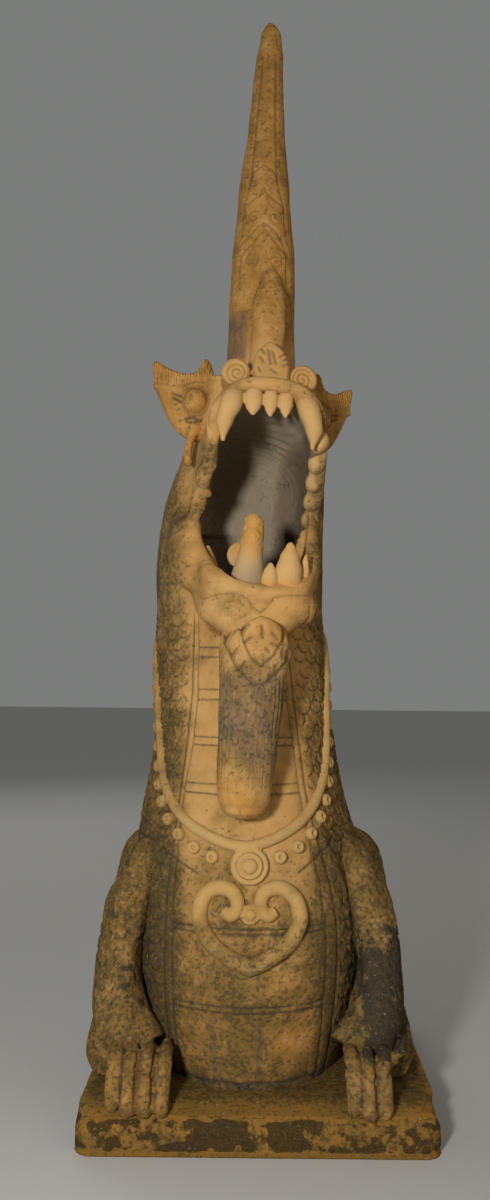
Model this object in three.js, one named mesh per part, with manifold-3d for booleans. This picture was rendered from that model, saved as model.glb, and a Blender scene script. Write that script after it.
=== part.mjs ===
// A ridge beast of fired clay: a seated, scaled beast with a gaping mouth, a raised trunk and a
// bead necklace, modelled in one with the slab that it sits on. Millimetres, +Z up, facing -Y.
// The origin is at the centre of the slab's underside.
import * as THREE from "three";
import { mergeVertices } from "three/addons/utils/BufferGeometryUtils.js";
import Module from "manifold-3d";

// Driving sizes
const slabWidth = 240;
const slabDepth = 240;
const slabThickness = 30;
const slabCornerRadius = 14;
const slabEdgeRadius = 6;
const figureHeight = 775;
const mouthWall = 8;
const neckWall = 10;
const throatDepth = 116;
const coilDiameter = 11.5;
const beadDiameter = 9.5;
const beadPitch = 15.5;
const bandDiameter = 8;

// The figure's free forms are written in shares of its height: one unit is a 775th of it.
const unit = figureHeight / 775;

const wasm = await Module();
wasm.setup();

const vector = (x, y, z) => new THREE.Vector3(x, y, z);
const onSlab = (x, y, z) => vector(x * unit, y * unit, slabThickness + z * unit);
const radians = THREE.MathUtils.degToRad;

// A three.js geometry as a solid that can be joined and cut
function solidOf(geometry) {
  const bare = new THREE.BufferGeometry();
  bare.setAttribute("position", geometry.getAttribute("position"));
  if (geometry.index) bare.setIndex(geometry.index);
  const merged = mergeVertices(bare, 1e-3);
  const mesh = new wasm.Mesh({
    numProp: 3,
    vertProperties: merged.attributes.position.array,
    triVerts: new Uint32Array(merged.index.array),
  });
  return new wasm.Manifold(mesh);
}

// A closed skin over a row of rings of points, with a fan across each end
function skin(rings) {
  const sides = rings[0].length;
  const points = rings.flat();
  const index = [];
  for (let ring = 0; ring + 1 < rings.length; ring++)
    for (let side = 0; side < sides; side++) {
      const here = ring * sides + side;
      const next = ring * sides + ((side + 1) % sides);
      index.push(here, next, next + sides, here, next + sides, here + sides);
    }
  const middle = (ring) => ring.reduce((sum, p) => sum.add(p), vector(0, 0, 0)).divideScalar(sides);
  const last = (rings.length - 1) * sides;
  points.push(middle(rings[0]), middle(rings[rings.length - 1]));
  for (let side = 0; side < sides; side++) {
    const next = (side + 1) % sides;
    index.push(points.length - 2, next, side);
    index.push(points.length - 1, last + side, last + next);
  }
  const geometry = new THREE.BufferGeometry().setFromPoints(points);
  geometry.setIndex(index);
  const made = solidOf(geometry);
  return made.volume() < 0 ? solidOf(flipped(geometry)) : made;
}

function flipped(geometry) {
  const turned = geometry.clone();
  const order = Array.from(geometry.index.array);
  for (let i = 0; i < order.length; i += 3) [order[i + 1], order[i + 2]] = [order[i + 2], order[i + 1]];
  turned.setIndex(order);
  return turned;
}

// A limb swept along a smooth curve. Each station is [centre, half width, half thickness],
// and "facing" is the direction that the thickness points in.
function limb(stations, facing, sides, steps) {
  const centres = stations.map((station) => station[0]);
  const curve = new THREE.CatmullRomCurve3(centres, false, "centripetal");
  const rings = [];
  for (let step = 0; step <= steps; step++) {
    const share = step / steps;
    const spot = share * (stations.length - 1);
    const from = Math.min(Math.floor(spot), stations.length - 2);
    const along = spot - from;
    const ease = along * along * (3 - 2 * along);
    const wide = THREE.MathUtils.lerp(stations[from][1], stations[from + 1][1], ease);
    const thick = THREE.MathUtils.lerp(stations[from][2], stations[from + 1][2], ease);
    const centre = curve.getPoint(share);
    const run = curve.getTangent(share);
    const across = run.clone().cross(facing).normalize();
    const out = across.clone().cross(run).normalize();
    const ring = [];
    for (let side = 0; side < sides; side++) {
      const angle = (side / sides) * 2 * Math.PI;
      ring.push(
        centre
          .clone()
          .addScaledVector(across, wide * Math.cos(angle))
          .addScaledVector(out, thick * Math.sin(angle)),
      );
    }
    rings.push(ring);
  }
  return skin(rings);
}

const round = (centre, radius) => [centre, radius, radius];

// A flat outline given as [across, up] points, thickened along its own normal and put in place
function plate(outline, thickness, place) {
  const shape = new THREE.Shape(outline.map((p) => new THREE.Vector2(p[0] * unit, p[1] * unit)));
  const geometry = new THREE.ExtrudeGeometry(shape, {
    depth: thickness * unit,
    bevelEnabled: false,
    steps: 1,
  });
  return solidOf(geometry.applyMatrix4(place));
}

// Frame whose third axis points along "out" and whose second axis is as near upright as it can be
function standing(origin, out) {
  const third = out.clone().normalize();
  const first = vector(0, 0, 1).cross(third).normalize();
  const second = third.clone().cross(first);
  return new THREE.Matrix4().makeBasis(first, second, third).setPosition(origin);
}

// The slab: a rounded rectangle whose upper edge is eased
function slab() {
  const level = (inset, z) => {
    const ring = [];
    const arcSteps = 3;
    const halfWide = slabWidth / 2 - inset;
    const halfDeep = slabDepth / 2 - inset;
    for (let corner = 0; corner < 4; corner++)
      for (let step = 0; step <= arcSteps; step++) {
        const angle = (corner + step / arcSteps) * (Math.PI / 2);
        const cornerX = [1, -1, -1, 1][corner] * (halfWide - slabCornerRadius);
        const cornerY = [1, 1, -1, -1][corner] * (halfDeep - slabCornerRadius);
        ring.push(
          vector(
            cornerX + slabCornerRadius * Math.cos(angle),
            cornerY + slabCornerRadius * Math.sin(angle),
            z,
          ),
        );
      }
    return ring;
  };
  const eased = slabEdgeRadius * (1 - Math.SQRT1_2);
  return skin([
    level(0, 0),
    level(0, slabThickness - slabEdgeRadius),
    level(eased, slabThickness - eased),
    level(slabEdgeRadius, slabThickness),
  ]);
}

// The body, neck and skull as one column. Each station is its height above the slab, its centre
// across and back, its half width, and its depth in front of and behind that centre.
const columnStations = [
  [-6, -8, 20, 77, 106, 84],
  [24, -8, 20, 84, 111, 88],
  [66, -8, 20, 89, 117, 90],
  [106, -8, 20, 90, 114, 88],
  [144, -10, 20, 86, 104, 84],
  [182, -13, 18, 77, 96, 76],
  [220, -14, 17, 70, 82, 70],
  [262, -16, 15, 66, 71, 67],
  [310, -18, 14, 64, 62, 62],
  [360, -19, 14, 64.5, 56, 58],
  [405, -16, 16, 62, 52, 52],
  [450, -9, 16, 54, 50, 46],
  [485, -5, 14, 44, 44, 38],
  [508, -3, 12, 33, 32, 30],
  [520, -3, 12, 14, 16, 14],
];
const columnCurve = new THREE.CubicInterpolant(
  columnStations.map((s) => s[0]),
  columnStations.flatMap((s) => s.slice(1)),
  5,
);
const columnTop = columnStations[columnStations.length - 1][0];

// A point of the column's skin: the angle is 0 at the front and grows towards +X; "inset" goes inwards
function onColumn(angle, height, inset = 0) {
  const [x, y, halfWidth, front, back] = columnCurve.evaluate(height);
  const depth = Math.cos(angle) > 0 ? front : back;
  return onSlab(x, y, height).add(
    vector(
      (halfWidth * unit - inset) * Math.sin(angle),
      -(depth * unit - inset) * Math.cos(angle),
      0,
    ),
  );
}

// The skin's outward direction there, from two short steps over the skin
function outOfColumn(angle, height) {
  const here = onColumn(angle, height);
  const round = onColumn(angle + 0.02, height).sub(here);
  const up = onColumn(angle, height + 1).sub(here);
  return round.cross(up).normalize();
}

const columnSides = 17;
function column() {
  const levels = 15;
  const rings = [];
  const [lowest] = columnStations[0];
  for (let level = 0; level <= levels; level++) {
    const height = lowest + ((columnTop - lowest) * level) / levels;
    const ring = [];
    for (let side = 0; side < columnSides; side++)
      ring.push(onColumn((side / columnSides) * 2 * Math.PI, height));
    rings.push(ring);
  }
  return skin(rings);
}

// Haunches, hind feet, forelegs and toes. "hand" is -1 for the leg at -X and +1 for the one at +X.
const legAxis = -8;
const toeRows = {
  [-1]: [
    [87, 9.5, -107],
    [76.5, 10.5, -113],
    [65.5, 10, -114],
    [54.5, 10, -113],
  ],
  [1]: [
    [90, 9.5, -112],
    [79.5, 10.5, -115],
    [69.5, 9.5, -110],
  ],
};
const legs = (hand) => {
  const x = (across) => hand * across + legAxis;
  const front = vector(0, -1, 0);
  const thigh = limb(
    [
      [onSlab(x(66), 46, 160), 8 * unit, 12 * unit],
      [onSlab(x(80), 44, 130), 24 * unit, 40 * unit],
      [onSlab(x(88), 36, 84), 25 * unit, 54 * unit],
      [onSlab(x(90), 22, 38), 22 * unit, 54 * unit],
      [onSlab(x(92), 20, -4), 20 * unit, 50 * unit],
    ],
    front,
    8,
    5,
  );
  const footSpread = hand < 0 ? 101 : 104;
  const hindFoot = limb(
    [
      [onSlab(x(footSpread), 50, 16), 12 * unit, 18 * unit],
      [onSlab(x(footSpread), -10, 20), 14 * unit, 26 * unit],
      [onSlab(x(footSpread), -50, 13), 14 * unit, 17 * unit],
      [onSlab(x(footSpread - 3), -70, 10), 11 * unit, 11 * unit],
    ],
    vector(0, 0, 1),
    8,
    5,
  );
  const shank = limb(
    [
      [onSlab(x(footSpread + 1), -12, 20), 8 * unit, 16 * unit],
      [onSlab(x(footSpread + 2), -6, 40), 7 * unit, 9 * unit],
      [onSlab(x(footSpread + 2), -2, 54), 5 * unit, 4 * unit],
    ],
    front,
    6,
    3,
  );
  const wrist = 77;
  const foreleg = limb(
    [
      [onSlab(x(64), -14, 160), 8 * unit, 14 * unit],
      [onSlab(x(76), -22, 140), 15 * unit, 24 * unit],
      [onSlab(x(88), -34, 108), 17 * unit, 26 * unit],
      [onSlab(x(93), -46, 70), 16 * unit, 24 * unit],
      [onSlab(x(88), -60, 38), 20 * unit, 23 * unit],
      [onSlab(x(wrist), -68, 18), 22 * unit, 22 * unit],
    ],
    front,
    8,
    6,
  );
  const toes = toeRows[hand].map(([across, width, reach]) =>
    limb(
      [
        round(onSlab(x((across + wrist) / 2), -68, 26), 6 * unit),
        round(onSlab(x(across), reach + 19, 25), (width / 2) * unit),
        round(onSlab(x(across), reach + 4, 17), (width / 2) * unit),
        round(onSlab(x(across), reach, -2), (width / 2 - 0.8) * unit),
      ],
      vector(1, 0, 0),
      5,
      3,
    ),
  );
  return [thigh, hindFoot, shank, foreleg, ...toes];
};

// The tail, laid round the back of the body and up the spine
function tail() {
  return limb(
    [
      round(onSlab(44, 84, 8), 8 * unit),
      round(onSlab(16, 102, 13), 11 * unit),
      round(onSlab(-16, 106, 38), 10 * unit),
      round(onSlab(-14, 104, 80), 9 * unit),
      round(onSlab(-4, 102, 118), 7 * unit),
      round(onSlab(-10, 96, 146), 4 * unit),
    ],
    vector(1, 0, 0),
    6,
    6,
  );
}

// The head turns and tilts as one about a point inside the skull
const headPivot = onSlab(-14, 20, 400);
const headTurn = radians(8);
const headTilt = radians(3.5);
const headPlace = new THREE.Matrix4()
  .makeTranslation(headPivot)
  .multiply(new THREE.Matrix4().makeRotationZ(headTurn))
  .multiply(new THREE.Matrix4().makeRotationY(headTilt));
const inHead = (x, y, z) => vector(x * unit, y * unit, z * unit).applyMatrix4(headPlace);
const headDirection = (x, y, z) => vector(x, y, z).transformDirection(headPlace);

// An upright, squarish ring round the muzzle: its place along the muzzle, its lowest and highest
// points, its half width and how far it leans back per unit of height
function muzzleRing([y, low, high, halfWidth, lean], inset, sides) {
  const bulge = (value, power) => Math.sign(value) * Math.abs(value) ** power;
  const middle = ((low + high) / 2) * unit;
  const halfHeight = ((high - low) / 2) * unit - inset;
  const ring = [];
  for (let side = 0; side < sides; side++) {
    const angle = (side / sides) * 2 * Math.PI;
    const power = Math.sin(angle) < 0 ? 0.6 : 0.75;
    const across = (halfWidth * unit - inset) * bulge(Math.cos(angle), power);
    const up = halfHeight * bulge(Math.sin(angle), power);
    ring.push(vector(across, y * unit + lean * up, middle + up).applyMatrix4(headPlace));
  }
  return ring;
}

function muzzle() {
  const stations = [
    [20, -84, 100, 40, 0],
    [-10, -90, 106, 46, 0],
    [-42, -96, 102, 46, 0.04],
    [-70, -99, 92, 43, 0.07],
    [-92, -98, 82, 40, 0.08],
    [-100, -92, 76, 35, 0.08],
  ];
  return skin(stations.map((station) => muzzleRing(station, 0, 16)));
}

// The hollow seen through the mouth: the muzzle less its wall, under a roof that vaults down to the
// back of the skull, and the throat down inside the neck
function hollow() {
  const stations = [
    [24, -40, 52, 36, 0],
    [4, -62, 68, 48, 0],
    [-42, -68, 80, 48, 0.04],
    [-80, -68, 81, 43, 0.08],
    [-120, -68, 80, 41, 0.08],
  ];
  const mouth = skin(stations.map((station) => muzzleRing(station, mouthWall, 12)));
  const throatTop = 388;
  const levels = 3;
  const sides = 10;
  const bottomShare = 0.7;
  const rings = [];
  for (let level = 0; level <= levels; level++) {
    const height = throatTop - throatDepth + (throatDepth * level) / levels;
    const taper = level === 0 ? bottomShare : 1;
    const [x, y] = columnCurve.evaluate(height);
    const ring = [];
    for (let side = 0; side < sides; side++) {
      const angle = (side / sides) * 2 * Math.PI;
      ring.push(onSlab(x, y, height).lerp(onColumn(angle, height, neckWall), taper));
    }
    rings.push(ring);
  }
  return mouth.add(skin(rings));
}

// The gape: a wedge cut back between the jaws to the corners of the mouth
const gapeCorner = [40, -10];
const upperSlope = 1.07;
const lowerSlope = -0.75;
function gape() {
  const reach = 90;
  const [back, level] = gapeCorner;
  const outline = [
    gapeCorner,
    [back + reach, level + reach * lowerSlope],
    [back + reach, level + reach * upperSlope],
  ];
  const across = 160;
  const place = headPlace
    .clone()
    .multiply(new THREE.Matrix4().makeTranslation((across / 2) * unit, 0, 0))
    .multiply(
      new THREE.Matrix4().makeBasis(vector(0, -1, 0), vector(0, 0, 1), vector(-1, 0, 0)),
    );
  return plate(outline, across, place);
}

// Full cheeks that carry the corners of the mouth down to the chin
const cheekStations = {
  [-1]: [
    [-62, -10, 404, 5],
    [-60, -24, 380, 12],
    [-54, -44, 354, 14],
    [-40, -62, 336, 9],
  ],
  [1]: [
    [31, -16, 404, 4],
    [32, -32, 378, 8],
    [31, -50, 354, 10],
    [27, -62, 338, 8],
  ],
};
function cheek(hand) {
  const stations = cheekStations[hand].map(([x, y, z, radius]) => round(onSlab(x, y, z), radius * unit));
  return limb(stations, vector(0, -1, 0), 7, 4);
}

// The rolled lips
function lips() {
  const lip = (points, radius) =>
    limb(
      points.map((p) => round(inHead(...p), radius * unit)),
      headDirection(0, -1, 0.01),
      5,
      8,
    );
  return [
    lip(
      [
        [-36, -82, 34],
        [-36, -90, 58],
        [-23, -95, 73],
        [0, -97, 77],
        [23, -95, 73],
        [36, -90, 60],
        [37, -82, 36],
      ],
      5,
    ),
    lip(
      [
        [-35, -80, -48],
        [-30, -96, -62],
        [0, -104, -67],
        [26, -101, -65],
        [38, -84, -56],
      ],
      6,
    ),
  ];
}

// A tooth from the middle of its root to its tip, with a full crown
function tooth(root, tip, width, facing = headDirection(0, -1, 0.2), sides = 5) {
  const crown = [
    [0, 0.42],
    [0.45, 0.5],
    [1, 0.1],
  ];
  const flatness = 0.8;
  return limb(
    crown.map(([share, swell]) => {
      const across = width * swell * unit;
      return [root.clone().lerp(tip, share), across, across * flatness];
    }),
    facing,
    sides,
    2,
  );
}

// Every tooth that still stands: the left front of the lower jaw has lost its own
function teeth() {
  const made = [];
  for (const [x, width] of [
    [-12, 13.5],
    [0, 10.5],
    [10.5, 10.5],
  ])
    made.push(tooth(inHead(x, -94, 73), inHead(x, -98, 55), width));
  for (const hand of [-1, 1])
    made.push(
      limb(
        [
          round(inHead(hand * 23, -88, 73), 6 * unit),
          round(inHead(hand * 27, -96, 62), 7.6 * unit),
          round(inHead(hand * 31, -98, 49), 6 * unit),
          round(inHead(hand * 31, -97, 35), 1.4 * unit),
        ],
        headDirection(1, 0, 0),
        7,
        5,
      ),
      tooth(inHead(hand * 38, -84, 58), inHead(hand * 39, -88, 36), 8),
    );
  const sideways = headDirection(1, 0, 0);
  const upperCount = 5;
  const pitch = 9.6;
  const sideTooth = 11;
  for (const hand of [-1, 1])
    for (let n = 0; n < upperCount; n++) {
      const back = gapeCorner[0] + 4 + pitch * n;
      const edge = gapeCorner[1] + (back - gapeCorner[0]) * upperSlope;
      const across = hand * THREE.MathUtils.lerp(43.5, 37, n / upperCount);
      const root = inHead(across, -back + 3, edge + 3);
      made.push(tooth(root, inHead(across, -back - 5, edge - 5), sideTooth, sideways, 4));
    }
  for (const back of [50, 61, 72]) {
    const edge = gapeCorner[1] + (back - gapeCorner[0]) * lowerSlope;
    const root = inHead(-42, -back + 2, edge - 5);
    made.push(tooth(root, inHead(-39, -back - 4, edge + 8), sideTooth, sideways, 4));
  }
  made.push(tooth(inHead(7, -101, -66), inHead(7, -103, -45), 12));
  made.push(tooth(inHead(20.5, -98, -66), inHead(20, -101, -30), 19));
  made.push(tooth(inHead(31.5, -92, -62), inHead(32, -96, -36), 8));
  return made;
}

// The tongue: an upright broken stub on a wide root, with a round lobe at its left
function tongue() {
  const stub = limb(
    [
      [inHead(-5, -76, -84), 15 * unit, 12 * unit],
      [inHead(-5, -78, -58), 12.5 * unit, 10 * unit],
      [inHead(-4, -77, -34), 8.5 * unit, 8 * unit],
      [inHead(-3, -76, -13), 6.8 * unit, 6 * unit],
      [inHead(-2, -76, -9), 3.5 * unit, 3 * unit],
    ],
    headDirection(0, -1, 0),
    8,
    5,
  );
  const lobe = new THREE.CylinderGeometry(9 * unit, 9 * unit, 6 * unit, 10);
  const place = standing(inHead(-11, -68, -38), headDirection(0, -1, 0));
  return [stub, solidOf(lobe.rotateX(Math.PI / 2).applyMatrix4(place))];
}

// The chin: two hanging lobes under the lip, the left one longer
function chin() {
  const lobe = (points) =>
    limb(
      points.map(([x, y, z, across, up]) => [inHead(x, y, z), up * unit, across * unit]),
      headDirection(0, -1, 0.01),
      7,
      4,
    );
  return [
    lobe([
      [-5, -101, -75, 8, 8],
      [-16, -100, -80, 10, 12],
      [-28, -90, -78, 10, 13],
      [-37, -70, -70, 5, 9],
    ]),
    lobe([
      [10, -102, -72, 6, 8],
      [24, -101, -74, 9, 11],
      [36, -88, -74, 9, 11],
      [38, -66, -74, 4, 6],
    ]),
  ];
}

// Coiled nostrils like little discs, and the pointed leaf that stands between them
function nostrils() {
  const made = [];
  const discRadius = 10.5 * unit;
  for (const hand of [-1, 1]) {
    const place = standing(inHead(hand * 23, -70, 87), headDirection(hand * 0.12, -1, 0.1));
    const disc = new THREE.CylinderGeometry(discRadius, discRadius * 0.9, 26 * unit, 10);
    const boss = new THREE.CylinderGeometry(discRadius * 0.35, discRadius * 0.5, 30 * unit, 5);
    for (const roll of [disc, boss]) made.push(solidOf(roll.rotateX(Math.PI / 2).applyMatrix4(place)));
  }
  return made;
}

function noseLeaf() {
  const outline = [
    [-8, -26],
    [8, -26],
    [13, -8],
    [11, 4],
    [6, 11],
    [0, 16],
    [-6, 11],
    [-11, 4],
    [-13, -8],
  ];
  return plate(outline, 12, standing(inHead(0, -72, 96), headDirection(0, -1, 0.4)));
}

// The short horn in front of the trunk
function horn() {
  return limb(
    [
      [inHead(0, -50, 86), 13 * unit, 12 * unit],
      [inHead(0, -53, 118), 12 * unit, 11 * unit],
      [inHead(0, -52, 148), 12.5 * unit, 10 * unit],
      [inHead(0, -46, 168), 8 * unit, 7 * unit],
      [inHead(0, -42, 182), 2.5 * unit, 2.5 * unit],
    ],
    headDirection(0, -1, 0),
    8,
    5,
  );
}

// The tall raised trunk, a slightly swayed blade with a rounded front
function trunk() {
  return limb(
    [
      [onSlab(-4, 2, 500), 27 * unit, 26 * unit],
      [onSlab(-4, 0, 545), 25 * unit, 25 * unit],
      [onSlab(-3, -1, 590), 24 * unit, 23 * unit],
      [onSlab(-3, 0, 640), 19.5 * unit, 20 * unit],
      [onSlab(-2, 2, 694), 14 * unit, 15 * unit],
      [onSlab(0, 1, 735), 11 * unit, 12 * unit],
      [onSlab(1, 0, 764), 8 * unit, 8 * unit],
      [onSlab(0, -1, 775), 2.5 * unit, 2.5 * unit],
    ],
    vector(0, -1, 0),
    10,
    11,
  );
}

// Brow crests with their eyes: flame-shaped plates swept back on each side of the head. The outline
// runs outwards from the plate's root and up from the head's pivot.
const browOutline = [
  [0, 56],
  [0, 91],
  [13, 95],
  [19, 106],
  [25, 97],
  [34, 95],
  [47, 98],
  [59, 104],
  [58, 88],
  [50, 69],
  [39, 53],
  [24, 46],
];
const browSweep = { [-1]: radians(18), [1]: radians(35) };
const browThickness = 14;
function brow(hand) {
  const place = headPlace
    .clone()
    .multiply(new THREE.Matrix4().makeTranslation(hand * 26 * unit, -56 * unit, 0))
    .multiply(new THREE.Matrix4().makeRotationZ(hand * browSweep[hand]))
    .multiply(new THREE.Matrix4().makeRotationX(Math.PI / 2));
  const sunk = new THREE.Matrix4().makeTranslation(0, 0, -browThickness * unit);
  const outline = browOutline.map(([out, up]) => [hand * out, up]);
  const eyeball = new THREE.SphereGeometry(8.5 * unit, 8, 5);
  eyeball.translate(hand * 24 * unit, 74 * unit, 0);
  const crest = plate(outline, browThickness, place.clone().multiply(sunk));
  return [crest, solidOf(eyeball.applyMatrix4(place))];
}

// A short drooping ear under each brow crest, the left one set further out
const earReach = { [-1]: 50, [1]: 43 };
function ear(hand) {
  const reach = earReach[hand];
  return limb(
    [
      round(inHead(hand * (reach - 3), -46, 56), 6 * unit),
      round(inHead(hand * (reach + 1), -48, 44), 4 * unit),
      round(inHead(hand * (reach + 2), -49, 33), 3.8 * unit),
      round(inHead(hand * (reach + 1), -49, 26), 4.5 * unit),
    ],
    headDirection(0, -1, 0),
    6,
    4,
  );
}

// The beard: a round-ended lock hanging from the chin to the chest
function beard() {
  return limb(
    [
      [inHead(0, -92, -88), 22 * unit, 8 * unit],
      [onSlab(-6, -84, 296), 24 * unit, 13 * unit],
      [onSlab(-8, -86, 262), 22 * unit, 15 * unit],
      [onSlab(-10, -87, 228), 20 * unit, 17 * unit],
      [onSlab(-12, -89, 204), 17.5 * unit, 18.5 * unit],
      [onSlab(-12, -90, 190), 15 * unit, 16.5 * unit],
      [onSlab(-11, -89, 182), 5 * unit, 6 * unit],
    ],
    vector(0, -1, 0),
    10,
    8,
  );
}

// Two leaves, one over the other, at the root of the beard
function leafOutline(halfWidth, top, bottom) {
  const outline = [];
  const steps = 9;
  for (let step = 0; step < steps; step++) {
    const angle = (step / steps) * 2 * Math.PI;
    const down = Math.sin(angle) < 0;
    const width = halfWidth * Math.cos(angle) * (down ? 1 - 0.35 * Math.sin(angle) ** 2 : 1);
    outline.push([width, Math.sin(angle) * (down ? -bottom : top)]);
  }
  return outline;
}

function chinLeaves() {
  const lean = headDirection(0, -1, -0.1);
  return [
    plate(leafOutline(23, 20, -22), 14, standing(inHead(2, -98, -106), lean)),
    plate(leafOutline(15, 18, -17), 12, standing(inHead(3, -106, -99), lean)),
  ];
}

// The necklace: a smooth band that hangs from the nape to the chest, a row of beads below it,
// a ringed medallion and a heart-shaped pendant of one rolled coil. The band's height is given for
// turns round the neck, in degrees from the front.
const bandDrop = new THREE.CubicInterpolant(
  [-21, 0, 21, 33, 43, 54, 62, 70, 80, 95, 130, 180, 230],
  [170, 162, 170, 179, 190, 208, 230, 256, 280, 302, 326, 335, 326],
  1,
);
const bandHeight = (angle) => bandDrop.evaluate(Math.abs(THREE.MathUtils.radToDeg(angle)))[0];
function band() {
  const steps = 20;
  const stations = [];
  for (let step = 0; step < steps; step++) {
    const angle = (step / steps - 0.5) * 2 * Math.PI;
    stations.push([onColumn(angle, bandHeight(angle)), bandDiameter / 2]);
  }
  return loop(stations, 5);
}

// A closed loop of one round section through the given [centre, radius] pairs
function loop(stations, sides) {
  const count = stations.length;
  const points = [];
  const index = [];
  for (let n = 0; n < count; n++) {
    const [centre, radius] = stations[n];
    const [ahead] = stations[(n + 1) % count];
    const [behind] = stations[(n + count - 1) % count];
    const run = ahead.clone().sub(behind).normalize();
    const across = run.clone().cross(vector(0, 0, 1)).normalize();
    const out = across.clone().cross(run);
    for (let side = 0; side < sides; side++) {
      const angle = (side / sides) * 2 * Math.PI;
      points.push(
        centre
          .clone()
          .addScaledVector(across, radius * Math.cos(angle))
          .addScaledVector(out, radius * Math.sin(angle)),
      );
      const here = n * sides + side;
      const next = n * sides + ((side + 1) % sides);
      const over = (here + sides) % (count * sides);
      const overNext = (next + sides) % (count * sides);
      index.push(here, next, overNext, here, overNext, over);
    }
  }
  const geometry = new THREE.BufferGeometry().setFromPoints(points);
  geometry.setIndex(index);
  const made = solidOf(geometry);
  return made.volume() < 0 ? solidOf(flipped(geometry)) : made;
}

// Beads are set at one pitch along the band, from the medallion's side to behind the neck's flank
const beadDrop = 13;
const beadEnd = radians(100);
const firstBead = 1.5 * beadPitch;
const beadStep = 0.02;
function beads() {
  const made = [];
  const radius = beadDiameter / 2;
  const tipRadius = radius * 0.7;
  const length = radius * 1.8;
  for (const hand of [-1, 1]) {
    let travelled = 0;
    let before = onColumn(0, bandHeight(0) - beadDrop);
    let due = firstBead;
    for (let turn = beadStep; turn < beadEnd; turn += beadStep) {
      const angle = hand * turn;
      const height = bandHeight(angle) - beadDrop;
      const spot = onColumn(angle, height);
      travelled += spot.distanceTo(before);
      before = spot;
      if (travelled < due) continue;
      due += beadPitch;
      const bead = new THREE.CylinderGeometry(tipRadius, radius, length, 5);
      const place = standing(spot, outOfColumn(angle, height));
      made.push(solidOf(bead.rotateX(Math.PI / 2).applyMatrix4(place)));
    }
  }
  return made;
}

// A round boss of stepped rings, each given by its radius and how far it stands out
function boss(angle, height, rings) {
  const place = standing(onColumn(angle, height), outOfColumn(angle, height));
  return rings.map(([radius, rise]) => {
    const ring = new THREE.CylinderGeometry(radius * unit, radius * unit, 2 * rise * unit, 9);
    return solidOf(ring.rotateX(Math.PI / 2).applyMatrix4(place));
  });
}

const medallion = () => boss(0.03, 149, [
  [13, 4],
  [9, 7],
  [5, 9],
]);
const smallBoss = () => boss(0.02, 118, [
  [6.5, 3],
  [4, 5],
]);

// Half of the heart, from its tip up the side and over, curling in to a small volute
const heartPath = [
  [-2, 84],
  [13, 90.5],
  [26, 100],
  [33, 114],
  [29.5, 128],
  [20, 134.5],
  [10.5, 132],
  [7.5, 124],
  [12, 117],
  [17, 120],
];
const heartAxis = 1;
const coilTaper = 0.7;
const coilLift = 1.5 * unit;
function pendant() {
  const path = new THREE.CatmullRomCurve3(heartPath.map(([x, h]) => vector(x, 0, h)));
  const steps = 14;
  return [-1, 1].map((hand) => {
    const stations = path.getSpacedPoints(steps).map((spot, step) => {
      const angle = Math.asin((heartAxis + hand * spot.x) / columnCurve.evaluate(spot.z)[2]);
      const radius = (coilDiameter / 2) * THREE.MathUtils.lerp(1, coilTaper, (step / steps) ** 2);
      const centre = onColumn(angle, spot.z).addScaledVector(outOfColumn(angle, spot.z), coilLift);
      return [centre, radius, radius];
    });
    return limb(stations, vector(0, -1, 0.01), 6, steps);
  });
}

// Join everything that stands out, cut the gape and the hollow, then set the teeth and tongue in
const joined = (solids) => wasm.Manifold.union(solids);
const solidBody = joined([column(), ...legs(-1), ...legs(1), tail(), muzzle()]).subtract(gape());
const head = [cheek(-1), cheek(1), ...chin(), ...lips(), trunk(), horn(), ...nostrils(), noseLeaf()];
const crests = [...brow(-1), ...brow(1), ear(-1), ear(1)];
const carved = joined([solidBody, ...head, ...crests]).subtract(hollow());
const dress = [band(), ...beads(), ...medallion(), ...smallBoss(), ...pendant()];
const beast = joined([carved, slab(), ...teeth(), ...tongue(), beard(), ...chinLeaves(), ...dress]);

// The finished solid as a three.js geometry
function geometryOf(made) {
  const mesh = made.getMesh();
  const geometry = new THREE.BufferGeometry();
  geometry.setAttribute("position", new THREE.BufferAttribute(mesh.vertProperties, 3));
  geometry.setIndex(new THREE.BufferAttribute(mesh.triVerts, 1));
  return geometry;
}

const terracotta = new THREE.MeshStandardMaterial({
  color: new THREE.Color(0.5, 0.33, 0.15),
  roughness: 0.9,
  metalness: 0,
});

const figure = new THREE.Group();
const clay = new THREE.Mesh(geometryOf(beast), terracotta);
clay.name = "ridge_beast";
figure.add(clay);

export default figure;
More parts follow.
